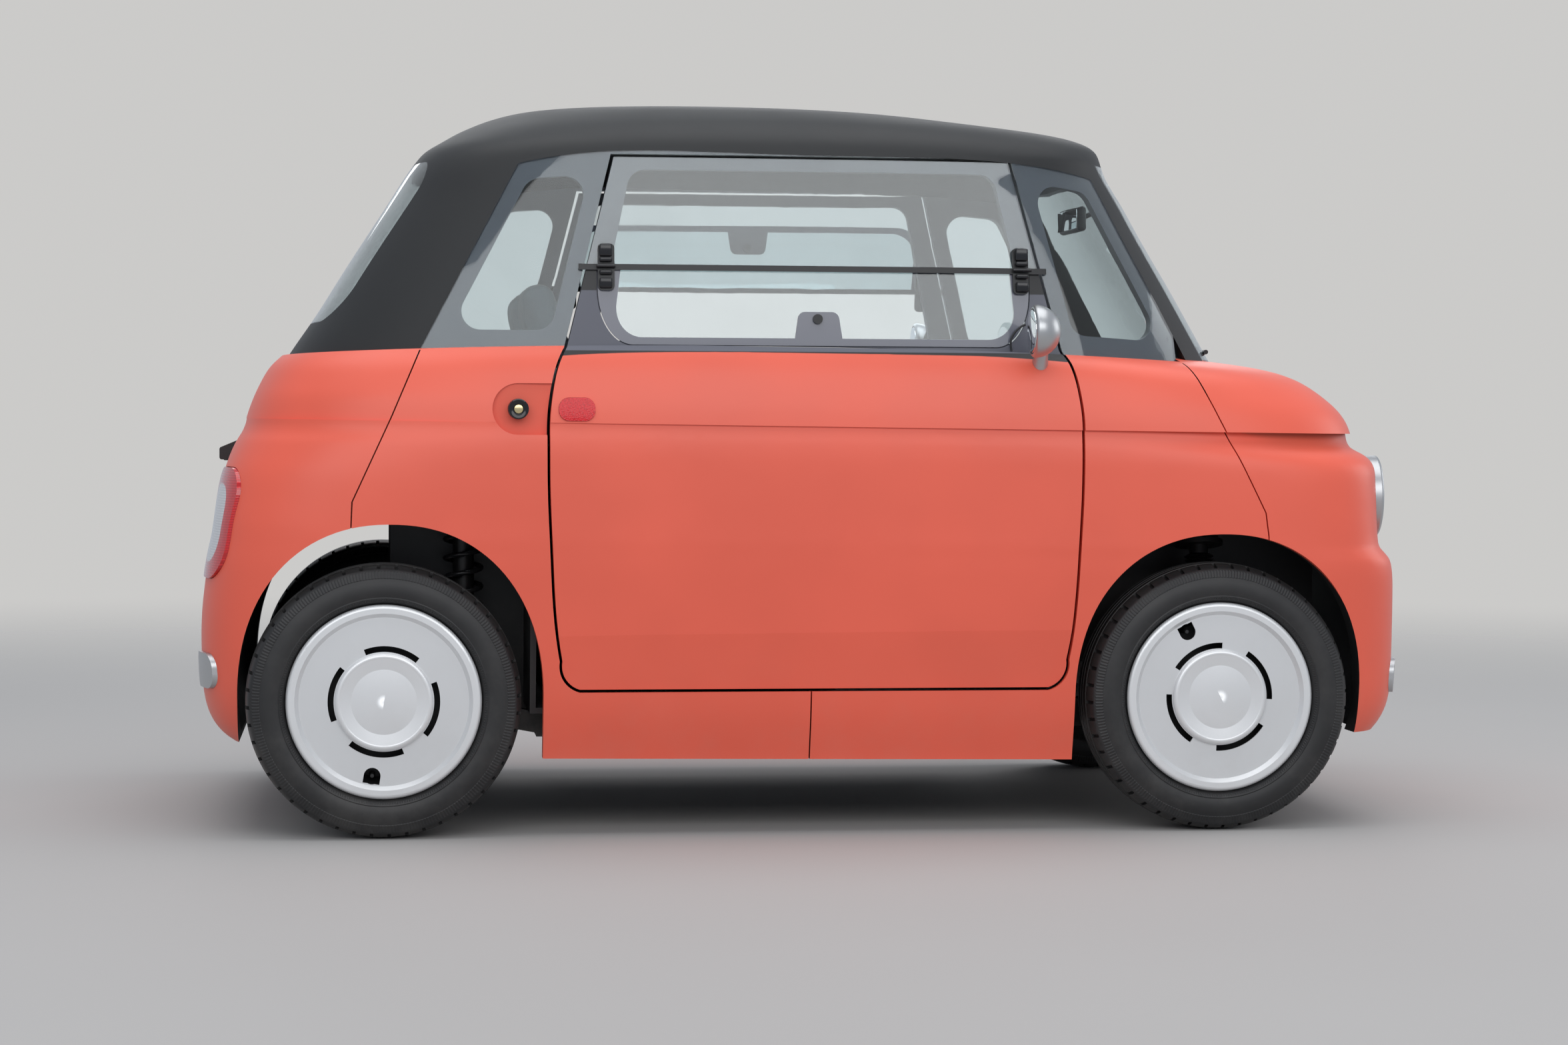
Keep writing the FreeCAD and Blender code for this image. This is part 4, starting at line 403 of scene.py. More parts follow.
def wheel_finish(name, axle_x):
    """Silver cover with fine turned lines outboard, dark painted rim and hub inboard of it"""
    tint = tint_of("cover")
    material, tree, principled, place = shader(name)
    parts = parts_of(tree, place)
    depth = math_node(tree, "ABSOLUTE", parts["Y"])
    outboard = ramp_between(tree, depth, 0.6496, 0.6500)
    radius = from_axle(tree, parts, axle_x)[2]
    lines = math_node(tree, "SINE", math_node(tree, "MULTIPLY", radius, 5200.0))
    plate = band_between(tree, radius, 0.100, 0.171)
    grain = use_group(tree, "Moulded grain", place, Scale=1400.0)
    tone = ramp_between(tree, grain.outputs["Tone"], 0.3, 0.7)
    base = mix_colour(tree, tone, tinted(tint, 0.97), tinted(tint, 1.02))
    base = mix_colour(tree, math_node(tree, "MULTIPLY", plate, 0.6), base, tinted(tint, 0.86))
    dust = use_group(tree, "Road dust", place, Top=0.60).outputs["Mask"]
    base = mix_colour(tree, math_node(tree, "MULTIPLY", dust, 0.08), base, (0.32, 0.29, 0.25))
    base = mix_colour(tree, outboard, (0.006, 0.006, 0.007), base)
    link(tree, base, principled.inputs["Base Color"])
    link(tree, math_node(tree, "MULTIPLY_ADD", outboard, -0.14, 0.50), principled.inputs["Roughness"])
    link(tree, math_node(tree, "MULTIPLY", outboard, 0.45), principled.inputs["Metallic"])
    height = math_node(tree, "ADD", grain.outputs["Height"], math_node(tree, "MULTIPLY", lines, plate))
    bump_into(tree, principled, height, 0.12, 0.0001)
    return material


def rubber_finish(name, axle_x):
    """Tyre rubber: fine radial ribs round the shoulder, a smooth wall, dust in the tread"""
    tint = tint_of("rubber")
    material, tree, principled, place = shader(name)
    grain = use_group(tree, "Moulded grain", place, Scale=900.0)
    along, up, radius = from_axle(tree, parts_of(tree, place), axle_x)
    turn = math_node(tree, "ARCTAN2", along, up)
    ribs = math_node(tree, "SINE", math_node(tree, "MULTIPLY", turn, 260.0))
    bands = math_node(tree, "ADD", band_between(tree, radius, 0.2490, 0.2645),
                      band_between(tree, radius, 0.2040, 0.2080))
    ridge = math_node(tree, "MULTIPLY", math_node(tree, "MULTIPLY", ribs, bands), 2.0)
    height = math_node(tree, "ADD", ridge, grain.outputs["Height"])
    dust = use_group(tree, "Road dust", place, Top=0.75)
    amount = math_node(tree, "MULTIPLY", dust.outputs["Mask"], 0.16)
    tread = ramp_between(tree, radius, 0.268, 0.276)
    worn = math_node(tree, "MULTIPLY_ADD", tread, 0.12, amount, clamp=True)
    base = mix_colour(tree, worn, tint, (0.16, 0.15, 0.14))
    link(tree, base, principled.inputs["Base Color"])
    tone = grain.outputs["Tone"]
    link(tree, math_node(tree, "MULTIPLY_ADD", tone, 0.12, 0.42), principled.inputs["Roughness"])
    bump_into(tree, principled, height, 0.45, 0.0005)
    return material


THREADS = 2600.0


def fabric(name, tint):
    """Woven seat cloth: two crossed thread waves, soft nap and slow fading"""
    material, tree, principled, place = shader(name)
    grain = use_group(tree, "Moulded grain", place, Scale=1500.0)
    parts = parts_of(tree, place)
    across = math_node(tree, "SINE", math_node(tree, "MULTIPLY", parts["Y"], THREADS))
    run = math_node(tree, "ADD", parts["X"], parts["Z"])
    along = math_node(tree, "SINE", math_node(tree, "MULTIPLY", run, THREADS))
    weave = math_node(tree, "MULTIPLY", across, along)
    height = math_node(tree, "ADD", math_node(tree, "MULTIPLY", weave, 0.5), grain.outputs["Height"])
    tone = ramp_between(tree, grain.outputs["Tone"], 0.3, 0.7)
    base = mix_colour(tree, tone, tinted(tint, 0.92), tinted(tint, 1.08))
    # Painted shade: the low crossings of the weave, where the bump is lowest, are darkened
    base = mix_colour(tree, ramp_between(tree, weave, -0.6, 0.6), tinted(tint, 0.8), base)
    link(tree, base, principled.inputs["Base Color"])
    link(tree, math_node(tree, "MULTIPLY_ADD", tone, 0.08, 0.82), principled.inputs["Roughness"])
    principled.inputs["Sheen Weight"].default_value = 0.3
    principled.inputs["Sheen Roughness"].default_value = 0.4
    bump_into(tree, principled, height, 0.5, 0.0006)
    return material


def reflector_red(name):
    """Red reflector: small prisms under a clear red face"""
    material, tree, principled, place = shader(name)
    cells = node(tree, "ShaderNodeTexVoronoi", Scale=320.0)
    link(tree, place, cells.inputs["Vector"])
    base = mix_colour(tree, cells.outputs["Distance"], (0.78, 0.012, 0.020), (0.45, 0.004, 0.008))
    link(tree, base, principled.inputs["Base Color"])
    link(tree, math_node(tree, "MULTIPLY_ADD", cells.outputs["Distance"], 0.10, 0.10),
         principled.inputs["Roughness"])
    principled.inputs["Coat Weight"].default_value = 0.15
    principled.inputs["Specular IOR Level"].default_value = 0.3
    bump_into(tree, principled, cells.outputs["Distance"], 0.3, 0.0006)
    return material


def tail_lens(name, y_middle, z_middle):
    """Tail lamp lens: a red ring round a pale middle"""
    material, tree, principled, place = shader(name)
    parts = parts_of(tree, place)
    across = math_node(tree, "SUBTRACT", math_node(tree, "ABSOLUTE", parts["Y"]), y_middle)
    up = math_node(tree, "SUBTRACT", parts["Z"], z_middle)
    shares = []
    for gap, reach in ((across, 0.068), (up, 0.082)):
        share = math_node(tree, "ABSOLUTE", math_node(tree, "DIVIDE", gap, reach))
        shares.append(math_node(tree, "POWER", share, 3.0))
    ring = ramp_between(tree, math_node(tree, "ADD", *shares), 0.85, 1.0)
    waves = []
    for direction in "ZY":
        wave = node(tree, "ShaderNodeTexWave", Scale=60.0, bands_direction=direction)
        link(tree, place, wave.inputs["Vector"])
        waves.append(wave.outputs["Fac"])
    prisms = math_node(tree, "MULTIPLY", *waves)
    clear = mix_colour(tree, prisms, (0.50, 0.50, 0.52), (0.86, 0.85, 0.85))
    red = mix_colour(tree, prisms, (0.46, 0.005, 0.008), (0.74, 0.016, 0.020))
    link(tree, mix_colour(tree, ring, clear, red), principled.inputs["Base Color"])
    link(tree, math_node(tree, "MULTIPLY_ADD", ring, 0.02, 0.08), principled.inputs["Roughness"])
    principled.inputs["Coat Weight"].default_value = 0.6
    bump_into(tree, principled, prisms, 0.35, 0.0010)
    return material


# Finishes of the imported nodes

NODE_FINISHES = {
    "Body paint": ("front_shell", "rear_shell", "side_panel_front_right", "side_panel_front_left",
                   "side_panel_rear_right", "side_panel_rear_left"),
    "Door paint": ("door_right", "door_left"),
    "Roof plastic": ("roof_panel", "rear_cap", "screen_pillars"),
    "Window border": ("window_frames",),
    "Door glass": ("door_window_right", "door_window_left", "window_flap_right"),
    "Raised flap glass": ("window_flap_left",),
    "Quarter glass": ("quarter_windows",),
    "Screen glass": ("windscreen",),
    "Rear glass": ("rear_window",),
    "Hinge trim": ("window_hinge_right", "window_hinge_left"),
    "Black trim": ("flap_latch_right", "flap_latch_left", "door_locks", "plate_lamp_cover",
                   "steering_wheel", "seat_shells"),
    "Satin silver": ("mirror_right", "mirror_left", "bumper_pads", "headlamp_housings"),
    "Lamp lens": ("headlamp_lenses",),
    "Reflector lens": ("door_reflector_right", "door_reflector_left"),
    "Tail lens": ("tail_lamps",),
    "Front wheel finish": ("wheel_front_right", "wheel_front_left"),
    "Rear wheel finish": ("wheel_rear_right", "wheel_rear_left"),
    "Front tyre rubber": ("tyre_front_right", "tyre_front_left"),
    "Rear tyre rubber": ("tyre_rear_right", "tyre_rear_left"),
    "Black steel": ("front_knuckle_right", "front_knuckle_left", "front_suspension", "rear_axle",
                    "rear_dampers", "chassis_frame", "drive_shafts", "steering_column"),
    "Cast alloy": ("drive_unit",),
    "Dark liner": ("floor_pan", "cowl_panel", "battery_pack", "dashboard"),
    "Woven cloth": ("seat_cushions", "seat_backrests"),
}


def build_finishes():
    body_paint("Body paint")
    body_paint("Door paint", doors=True)
    grained("Roof plastic", tint_of("roof"), 0.58, scale=1100.0, strength=0.5, variation=0.10)
    hinge_trim("Hinge trim")
    # The window frames behind the glass are grey-blue: a painted sky reflection over a dark border
    grained("Window border", tint_of("frit_and_painted_reflection"), 0.45, scale=1400.0, strength=0.1, variation=0.04)
    glass = tint_of("glass")
    pane_glass("Door glass", glass, border=flap_border(False))
    pane_glass("Raised flap glass", glass, border=flap_border(True))
    pane_glass("Quarter glass", glass)
    pane_glass("Screen glass", glass)
    pane_glass("Rear glass", tinted(glass, 0.92))
    reflector_red("Reflector lens")
    grained("Black trim", tint_of("trim"), 0.46, scale=1200.0, strength=0.45)
    grained("Satin silver", (0.50, 0.51, 0.52), 0.36, scale=1500.0, strength=0.06, metallic=0.85,
            variation=0.05)
    pane_glass("Lamp lens", (0.97, 0.97, 0.97), roughness=0.01)
    tail_lens("Tail lens", 0.490, 0.636)
    wheel_finish("Front wheel finish", AXLE_X["front"])
    wheel_finish("Rear wheel finish", AXLE_X["rear"])
    rubber_finish("Front tyre rubber", AXLE_X["front"])
    rubber_finish("Rear tyre rubber", AXLE_X["rear"])
    grained("Black steel", (0.016, 0.016, 0.017), 0.42, scale=500.0, strength=0.3, dust=0.35)
    grained("Cast alloy", (0.30, 0.31, 0.32), 0.45, scale=420.0, strength=0.5, metallic=0.8, dust=0.3)
    grained("Dark liner", (0.014, 0.014, 0.015), 0.62, scale=600.0, strength=0.5, dust=0.12,
            dust_top=0.4)
    fabric("Woven cloth", tint_of("cloth"))
    grained("Bright chrome", (0.80, 0.81, 0.82), 0.10, scale=1500.0, strength=0.03, metallic=1.0,
            variation=0.03)
    grained("Brass", (0.72, 0.60, 0.33), 0.24, scale=1500.0, strength=0.05, metallic=1.0, variation=0.05)
    grained("Mirror silver", (0.86, 0.88, 0.90), 0.03, scale=30.0, strength=0.01, metallic=1.0,
            variation=0.02)
    grained("Black gloss", (0.008, 0.008, 0.010), 0.12, scale=1500.0, strength=0.04)
    grained("Spring steel", (0.020, 0.020, 0.022), 0.30, scale=700.0, strength=0.2, dust=0.2)


def dress_nodes():
    for finish, names in NODE_FINISHES.items():
        material = bpy.data.materials[finish]
        for name in names:
            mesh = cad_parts[name].data
            mesh.materials.clear()
            mesh.materials.append(material)


# Modelling helpers

def clear_selection():
    if bpy.context.mode != "OBJECT":
        bpy.ops.object.mode_set(mode="OBJECT")
    bpy.ops.object.select_all(action="DESELECT")


def take(piece):
    clear_selection()
    piece.select_set(True)
    bpy.context.view_layer.objects.active = piece


def named(name, finish=None):
    piece = bpy.context.object
    piece.name = name
    piece.data.name = name
    if finish:
        piece.data.materials.clear()
        piece.data.materials.append(bpy.data.materials[finish])
    return piece


def settle(piece, location=(0, 0, 0), turn=(0, 0, 0), scale=(1, 1, 1)):
    """Move the mesh itself, and leave the object at the origin"""
    take(piece)
    piece.location = location
    piece.rotation_euler = turn
    piece.scale = scale
    bpy.ops.object.transform_apply(location=True, rotation=True, scale=True)
    if scale[0] * scale[1] * scale[2] < 0:
        bpy.ops.object.mode_set(mode="EDIT")
        bpy.ops.mesh.select_all(action="SELECT")
        bpy.ops.mesh.normals_make_consistent(inside=False)
        bpy.ops.object.mode_set(mode="OBJECT")
    return piece


def smooth(piece, angle=35):
    take(piece)
    bpy.ops.object.shade_smooth_by_angle(angle=math.radians(angle))
    return piece


def copied(piece, name, **place):
    take(piece)
    bpy.ops.object.duplicate()
    return settle(named(name), **place)


def joined(name, pieces):
    clear_selection()
    for piece in pieces:
        piece.select_set(True)
    bpy.context.view_layer.objects.active = pieces[0]
    bpy.ops.object.join()
    return named(name)


def finish_with(piece, kind, **values):
    take(piece)
    modifier = piece.modifiers.new("shape", kind)
    for key, value in values.items():
        setattr(modifier, key, value)
    bpy.ops.object.modifier_apply(modifier=modifier.name)
    return piece


def turned(name, profile, steps, finish, closed=False, sharp=35):
    """A profile of places along Y and out from it, drawn point by point and spun about Y"""
    clear_selection()
    bpy.ops.mesh.primitive_plane_add(size=0.01, location=(0, 0, 0))
    piece = named(name, finish)
    bpy.ops.object.mode_set(mode="EDIT")
    bpy.ops.mesh.select_mode(type="VERT")
    bpy.ops.mesh.select_all(action="SELECT")
    bpy.ops.mesh.merge(type="CENTER")
    places = [Vector((0, along, out)) for along, out in profile]
    bpy.ops.transform.translate(value=places[0])
    for start, end in zip(places, places[1:] + (places[:1] if closed else [])):
        bpy.ops.mesh.extrude_vertices_move(TRANSFORM_OT_translate={"value": end - start})
    bpy.ops.mesh.select_all(action="SELECT")
    bpy.ops.mesh.remove_doubles(threshold=0.00001)
    bpy.ops.mesh.select_all(action="SELECT")
    bpy.ops.mesh.spin(steps=steps, angle=2 * math.pi, center=(0, 0, 0), axis=(0, 1, 0))
    bpy.ops.mesh.select_all(action="SELECT")
    bpy.ops.mesh.remove_doubles(threshold=0.00001)
    bpy.ops.mesh.normals_make_consistent(inside=False)
    bpy.ops.object.mode_set(mode="OBJECT")
    return smooth(piece, sharp)


def rounded_block(name, low, high, bevel, finish, segments=3):
    clear_selection()
    middle = [(a + b) / 2 for a, b in zip(low, high)]
    size = [b - a for a, b in zip(low, high)]
    bpy.ops.mesh.primitive_cube_add(size=1, location=middle, scale=size)
    piece = named(name, finish)
    bpy.ops.object.transform_apply(location=True, rotation=True, scale=True)
    bpy.ops.object.mode_set(mode="EDIT")
    bpy.ops.mesh.select_all(action="SELECT")
    bpy.ops.mesh.bevel(offset=bevel, segments=segments, affect="EDGES")
    bpy.ops.object.mode_set(mode="OBJECT")
    return smooth(piece, 50)


def tube(name, points, radius, finish):
    """A round rod along a smooth curve through its control points"""
    clear_selection()
    bpy.ops.curve.primitive_nurbs_path_add(location=(0, 0, 0))
    path = bpy.context.object
    spline = path.data.splines[0]
    if len(points) > len(spline.points):
        spline.points.add(len(points) - len(spline.points))
    tail = points[-1:] * (len(spline.points) - len(points))
    for place, point in zip(spline.points, list(points) + tail):
        place.co = (*point, 1.0)
    spline.order_u = 3
    spline.use_endpoint_u = True
    path.data.bevel_depth = radius
    path.data.bevel_resolution = 3
    path.data.use_fill_caps = True
    bpy.ops.object.convert(target="MESH")
    return smooth(named(name, finish), 50)


def select_faces(piece, test):
    form = bmesh.from_edit_mesh(piece.data)
    form.faces.ensure_lookup_table()
    for face in form.faces:
        face.select_set(bool(test(face.calc_center_median(), face.normal)))
    bmesh.update_edit_mesh(piece.data)


# Tyres and wheels

TYRE_HALF = [
    (0.0000, 0.2785), (0.0065, 0.2785), (0.0073, 0.2722), (0.0127, 0.2722), (0.0135, 0.2785),
    (0.0225, 0.2784), (0.0315, 0.2781), (0.0323, 0.2718), (0.0377, 0.2715), (0.0385, 0.2776),
    (0.0470, 0.2763), (0.0550, 0.2742), (0.0610, 0.2717), (0.0655, 0.2682), (0.0686, 0.2640),
    (0.0690, 0.2626), (0.0712, 0.2570), (0.0735, 0.2505), (0.0731, 0.2490), (0.0758, 0.2420),
    (0.0771, 0.2340), (0.0775, 0.2270), (0.0769, 0.2190), (0.0750, 0.2120), (0.0760, 0.2100),
    (0.0738, 0.2078), (0.0690, 0.2030), (0.0640, 0.1995), (0.0590, 0.1950), (0.0556, 0.1870),
    (0.0520, 0.1790), (0.0480, 0.1800), (0.0545, 0.2000), (0.0660, 0.2290), (0.0560, 0.2590),
    (0.0300, 0.2650),
]
TREAD_STEPS = 240
GROOVE_EVERY = 5


def build_tyres():
    profile = TYRE_HALF + [(-along, out) for along, out in reversed(TYRE_HALF[1:])]
    tyre = turned("tyre_form", profile, TREAD_STEPS, "Front tyre rubber", closed=True, sharp=28)
    pitch = 2 * math.pi / TREAD_STEPS
    depth = sizes().tread_depth

    def groove(middle, normal):
        radius = math.hypot(middle.x, middle.z)
        step = int((math.atan2(middle.x, middle.z) + math.pi) / pitch)
        shift = 2 if middle.y < 0 else 0
        shoulder = 0.0385 < abs(middle.y) < 0.0655 and radius > 0.2685
        return shoulder and (step + shift) % GROOVE_EVERY == 0

    take(tyre)
    bpy.ops.object.mode_set(mode="EDIT")
    bpy.ops.mesh.select_mode(type="FACE")
    select_faces(tyre, groove)
    bpy.ops.mesh.extrude_region_shrink_fatten(TRANSFORM_OT_shrink_fatten={"value": -depth})
    bpy.ops.object.mode_set(mode="OBJECT")
    smooth(tyre, 28)
    for end, axle_x in AXLE_X.items():
        for side_name, side in SIDES:
            piece = copied(tyre, "tyre_tread_%s_%s" % (end, side_name),
                           location=(axle_x, side * WHEEL_PLANE, AXLE_HEIGHT))
            piece.data.materials.clear()
            piece.data.materials.append(bpy.data.materials["%s tyre rubber" % end.capitalize()])
            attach(piece, "wheel_%s_%s" % (end, side_name))
            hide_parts("tyre_%s_%s" % (end, side_name))
    bpy.data.objects.remove(tyre)


VALVE_PROFILE = [(-0.030, 0.0), (-0.030, 0.0062), (-0.018, 0.0058), (-0.006, 0.0045), (0.0, 0.0042),
                 (0.001, 0.0050), (0.013, 0.0048), (0.015, 0.0036), (0.0155, 0.0)]
VALVE_PLACE = 0.152
VALVE_TURN = {"front": -27, "rear": -171}


def build_valves():
    valve = turned("valve_form", VALVE_PROFILE, 20, "Black trim")
    for end, axle_x in AXLE_X.items():
        angle = math.radians(VALVE_TURN[end])
        for side_name, side in SIDES:
            spot = (axle_x + VALVE_PLACE * math.sin(angle), side * 0.636,
                    AXLE_HEIGHT + VALVE_PLACE * math.cos(angle))
            piece = copied(valve, "valve_stem_%s_%s" % (end, side_name), location=spot,
                           scale=(1, side, 1))
            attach(piece, "wheel_%s_%s" % (end, side_name))
    bpy.data.objects.remove(valve)


# Springs and gaiters

def coil(name, radius, wire, pitch, turns, start, direction):
    """A spring wound from a small circle by the screw modifier"""
    clear_selection()
    bpy.ops.mesh.primitive_circle_add(vertices=10, radius=wire, location=(radius, 0, 0),
                                      rotation=(math.pi / 2, 0, 0))
    piece = named(name, "Spring steel")
    bpy.ops.object.transform_apply(location=True, rotation=True, scale=True)
    finish_with(piece, "SCREW", angle=2 * math.pi * turns, screw_offset=pitch * turns, steps=28 * turns,
                render_steps=28 * turns, iterations=1, axis="Z", use_merge_vertices=False)
    bpy.ops.object.mode_set(mode="EDIT")
    bpy.ops.mesh.select_all(action="DESELECT")
    bpy.ops.mesh.select_mode(type="EDGE")
    bpy.ops.mesh.select_non_manifold()
    bpy.ops.mesh.edge_face_add()
    bpy.ops.mesh.select_all(action="SELECT")
    bpy.ops.mesh.normals_make_consistent(inside=False)
    bpy.ops.object.mode_set(mode="OBJECT")
    smooth(piece, 50)
    turn = Vector(direction).to_track_quat("Z", "Y").to_euler()
    return settle(piece, location=start, turn=turn)


FOLD_PITCH = 0.0085
FOLDS = 11
FOLD_INNER = 0.0206
FOLD_VALLEY = 0.0245
FOLD_CREST = 0.0315


def build_springs():
    for side_name, side in SIDES:
        low = Vector((AXLE_X["front"], side * 0.560, 0.165))
        top = Vector((AXLE_X["front"], side * 0.455, 0.650))
        way = (top - low).normalized()
        spring = coil("front_spring_%s" % side_name, 0.040, 0.0035, 0.0095, 3,
                      low + way * 0.4450, way)
        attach(spring, "chassis")
        profile = [(0.0, FOLD_INNER)]
        for fold in range(FOLDS):
            base = fold * FOLD_PITCH
            profile += [(base, FOLD_VALLEY), (base + FOLD_PITCH / 2, FOLD_CREST)]
        profile += [(FOLDS * FOLD_PITCH, FOLD_VALLEY), (FOLDS * FOLD_PITCH, FOLD_INNER)]
        gaiter = turned("strut_gaiter_%s" % side_name, profile, 32, "Black trim", closed=True)
        turn = way.to_track_quat("Y", "Z").to_euler()
        settle(gaiter, location=low + way * 0.318, turn=turn)
        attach(gaiter, "chassis")
        rear = coil("rear_spring_%s" % side_name, 0.037, 0.0055, 0.0394, 8,
                    (-0.720, side * 0.432, 0.3625), (0, 0, 1))
        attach(rear, "chassis")


# Lamps

REFLECTOR_PROFILE = [
    (-0.0015, 0.0732), (-0.0035, 0.0690), (-0.0100, 0.0590), (-0.0175, 0.0460), (-0.0235, 0.0340),
    (-0.0265, 0.0240), (-0.0270, 0.0215), (-0.0240, 0.0210), (-0.0100, 0.0205), (-0.0070, 0.0180),
    (-0.0050, 0.0110), (-0.0045, 0.0), (-0.0295, 0.0), (-0.0295, 0.0732),
]
LAMP_TURN = 5.5
LAMP_FACE = (1.22504, 0.455, 0.692)


def build_headlamps():
    bowl = turned("bowl_form", REFLECTOR_PROFILE, 72, "Bright chrome", closed=True, sharp=20)
    ring = turned("ring_form", [(0.0005, 0.0640), (0.0025, 0.0655), (0.0025, 0.0690), (0.0005, 0.0705),
                                (-0.0025, 0.0700), (-0.0050, 0.0668)], 72, "Black gloss", closed=True)
    cap = turned("cap_form", [(-0.0045, 0.0), (-0.0045, 0.0120), (-0.0010, 0.0105), (0.0015, 0.0060),
                              (0.0022, 0.0)], 40, "Black gloss")
    for side_name, side in SIDES:
        place = {"location": (LAMP_FACE[0], side * LAMP_FACE[1], LAMP_FACE[2]),
                 "turn": (0, 0, math.radians(-90 + side * LAMP_TURN))}
        for form, name in ((bowl, "bowl"), (ring, "ring"), (cap, "projector")):
            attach(copied(form, "headlamp_%s_%s" % (name, side_name), **place), "chassis")
    for form in (bowl, ring, cap):
        bpy.data.objects.remove(form)


# Door fittings

FLAP_KNUCKLES = ((-0.438, -0.6345), (0.425, -0.6215))
KNUCKLE_LEVELS = ((1.195, 0.0125), (1.176, 0.0050), (1.150, 0.0050), (1.128, 0.0105))


def build_hinge_knuckles():
    """Two stacks of blocks with a pin through each, along the bar of the right flap"""
    knuckles = []
    for x, bar_y in FLAP_KNUCKLES:
        for level, half in KNUCKLE_LEVELS:
            y = bar_y + (level - FLAP_BAR) * 0.16
            knuckles.append(rounded_block("knuckle", (x - 0.0130, y - 0.0060, level - half),
                                          (x + 0.0130, y + 0.0040, level + half), 0.0035,
                                          "Black gloss"))
        run = [(x + shift, bar_y - 0.003, 1.163) for shift in (-0.019, -0.006, 0.006, 0.019)]
        knuckles.append(tube("pin", run, 0.0042, "Black gloss"))
    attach(joined("hinge_knuckles_right", knuckles), "door_right")


def build_door_fittings():
    ring = turned("lock_form", [(0.0, 0.0100), (0.0, 0.0208), (0.0035, 0.0205), (0.0050, 0.0185),
                                (0.0045, 0.0125), (0.0025, 0.0100)], 40, "Black gloss", closed=True)
    key = turned("key_form", [(0.0, 0.0), (0.0, 0.0092), (0.0030, 0.0088), (0.0036, 0.0075),
                              (0.0036, 0.0)], 32, "Brass")
    glass = turned("glass_form", [(-0.0010, 0.0), (-0.0010, 0.0445), (0.0006, 0.0440), (0.0012, 0.0420),
                                  (0.0016, 0.0)], 48, "Mirror silver")
    for side_name, side in SIDES:
        lock_x = -0.617 if side < 0 else 0.603
        spot = (lock_x, side * 0.7000, 0.871)
        for form, name in ((ring, "lock_ring"), (key, "lock_key")):
            fitting = copied(form, "%s_%s" % (name, side_name), location=spot, scale=(1, side, 1))
            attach(fitting, "chassis")
        mirror = copied(glass, "mirror_glass_%s" % side_name, location=(0.4229, side * 0.742, 1.034),
                        turn=(0, 0, math.radians(90)))
        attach(mirror, "door_%s" % side_name)
    for form in (ring, key, glass):
        bpy.data.objects.remove(form)
    build_hinge_knuckles()
    loop = [(0.430, -0.634, 1.050), (0.420, -0.641, 1.047), (0.404, -0.644, 1.032),
            (0.396, -0.644, 1.012), (0.400, -0.645, 0.996)]
    strap = tube("flap_strap_right", loop, 0.0022, "Black trim")
    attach(strap, "door_right")


# Cabin

SEAT_Y = 0.262
SEAT_HALF = 0.209
HEADREST_HALF = 0.120
SEAT_LEAN = -16
LEAN_AXLE = (-0.400, 0, 0.374)
PAD_FRAMES = 20
PAD_SWELL = 0.024


def build_seats():
    """One seat is filled and sewn, and the other is its copy"""
    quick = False
    y0 = -SEAT_Y - SEAT_HALF
    y1 = -SEAT_Y + SEAT_HALF
    cushion = seat_pad("cushion_right", (-0.314, y0, 0.402), (0.054, y1, 0.488), quick)
    back = seat_pad("backrest_right", (-0.396, y0, 0.414), (-0.332, y1, 0.985), quick)
    head = seat_pad("headrest_right", (-0.392, -SEAT_Y - HEADREST_HALF, 1.012),
                    (-0.318, -SEAT_Y + HEADREST_HALF, 1.150), quick)
    posts = []
    for shift in (-0.055, 0.055):
        y = shift - SEAT_Y
        posts.append(tube("post", [(-0.362, y, 0.960), (-0.362, y, 0.990), (-0.360, y, 1.010),
                                   (-0.356, y, 1.040)], 0.006, "Bright chrome"))
    post = joined("headrest_posts_right", posts)
    for piece in (back, head, post):
        turn_about(piece, LEAN_AXLE, SEAT_LEAN)
    for piece in (cushion, back, head, post):
        twin = copied(piece, piece.name.replace("right", "left"), location=(0, 2 * SEAT_Y, 0))
        for seat in (piece, twin):
            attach(seat, "chassis")
    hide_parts("seat_cushions")
    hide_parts("seat_backrests")


def turn_about(piece, pivot, degrees):
    """Lean a finished piece back about an axle across the car"""
    take(piece)
    bpy.ops.object.mode_set(mode="EDIT")
    bpy.ops.mesh.select_all(action="SELECT")
    bpy.ops.transform.translate(value=[-value for value in pivot])
    bpy.ops.object.mode_set(mode="OBJECT")
    settle(piece, location=pivot, turn=(0, math.radians(degrees), 0))


def seat_pad(name, low, high, quick):
    """A filled pad: pressure swells the rounded block, then channels are sewn in"""
    pad = rounded_block(name, low, high, 0.030, "Woven cloth", segments=4)
    finish_with(pad, "REMESH", mode="VOXEL", voxel_size=0.0085 if quick else 0.0070,
                use_smooth_shade=True)
    if not quick:
        rest = [vertex.co.copy() for vertex in pad.data.vertices]
        take(pad)
        cloth = pad.modifiers.new("fill", "CLOTH")
        cloth.settings.use_pressure = True
        cloth.settings.uniform_pressure_force = 4.0
        cloth.settings.effector_weights.gravity = 0.0
        cloth.settings.quality = 4
        cloth.point_cache.frame_start = 1
        cloth.point_cache.frame_end = PAD_FRAMES
        scene = bpy.context.scene
        for moment in range(1, PAD_FRAMES + 1):
            scene.frame_set(moment)
        bpy.ops.object.modifier_apply(modifier=cloth.name)
        scene.frame_set(1)
        for vertex, start in zip(pad.data.vertices, rest):
            step = vertex.co - start
            if step.length > PAD_SWELL:
                vertex.co = start + step * (PAD_SWELL / step.length)
    sew_channels(pad, low, high)
    finish_with(pad, "SMOOTH", factor=0.5, iterations=4)
    finish_with(pad, "SUBSURF", levels=1, render_levels=1)
    take(pad)
    bpy.ops.object.shade_smooth()
    return pad


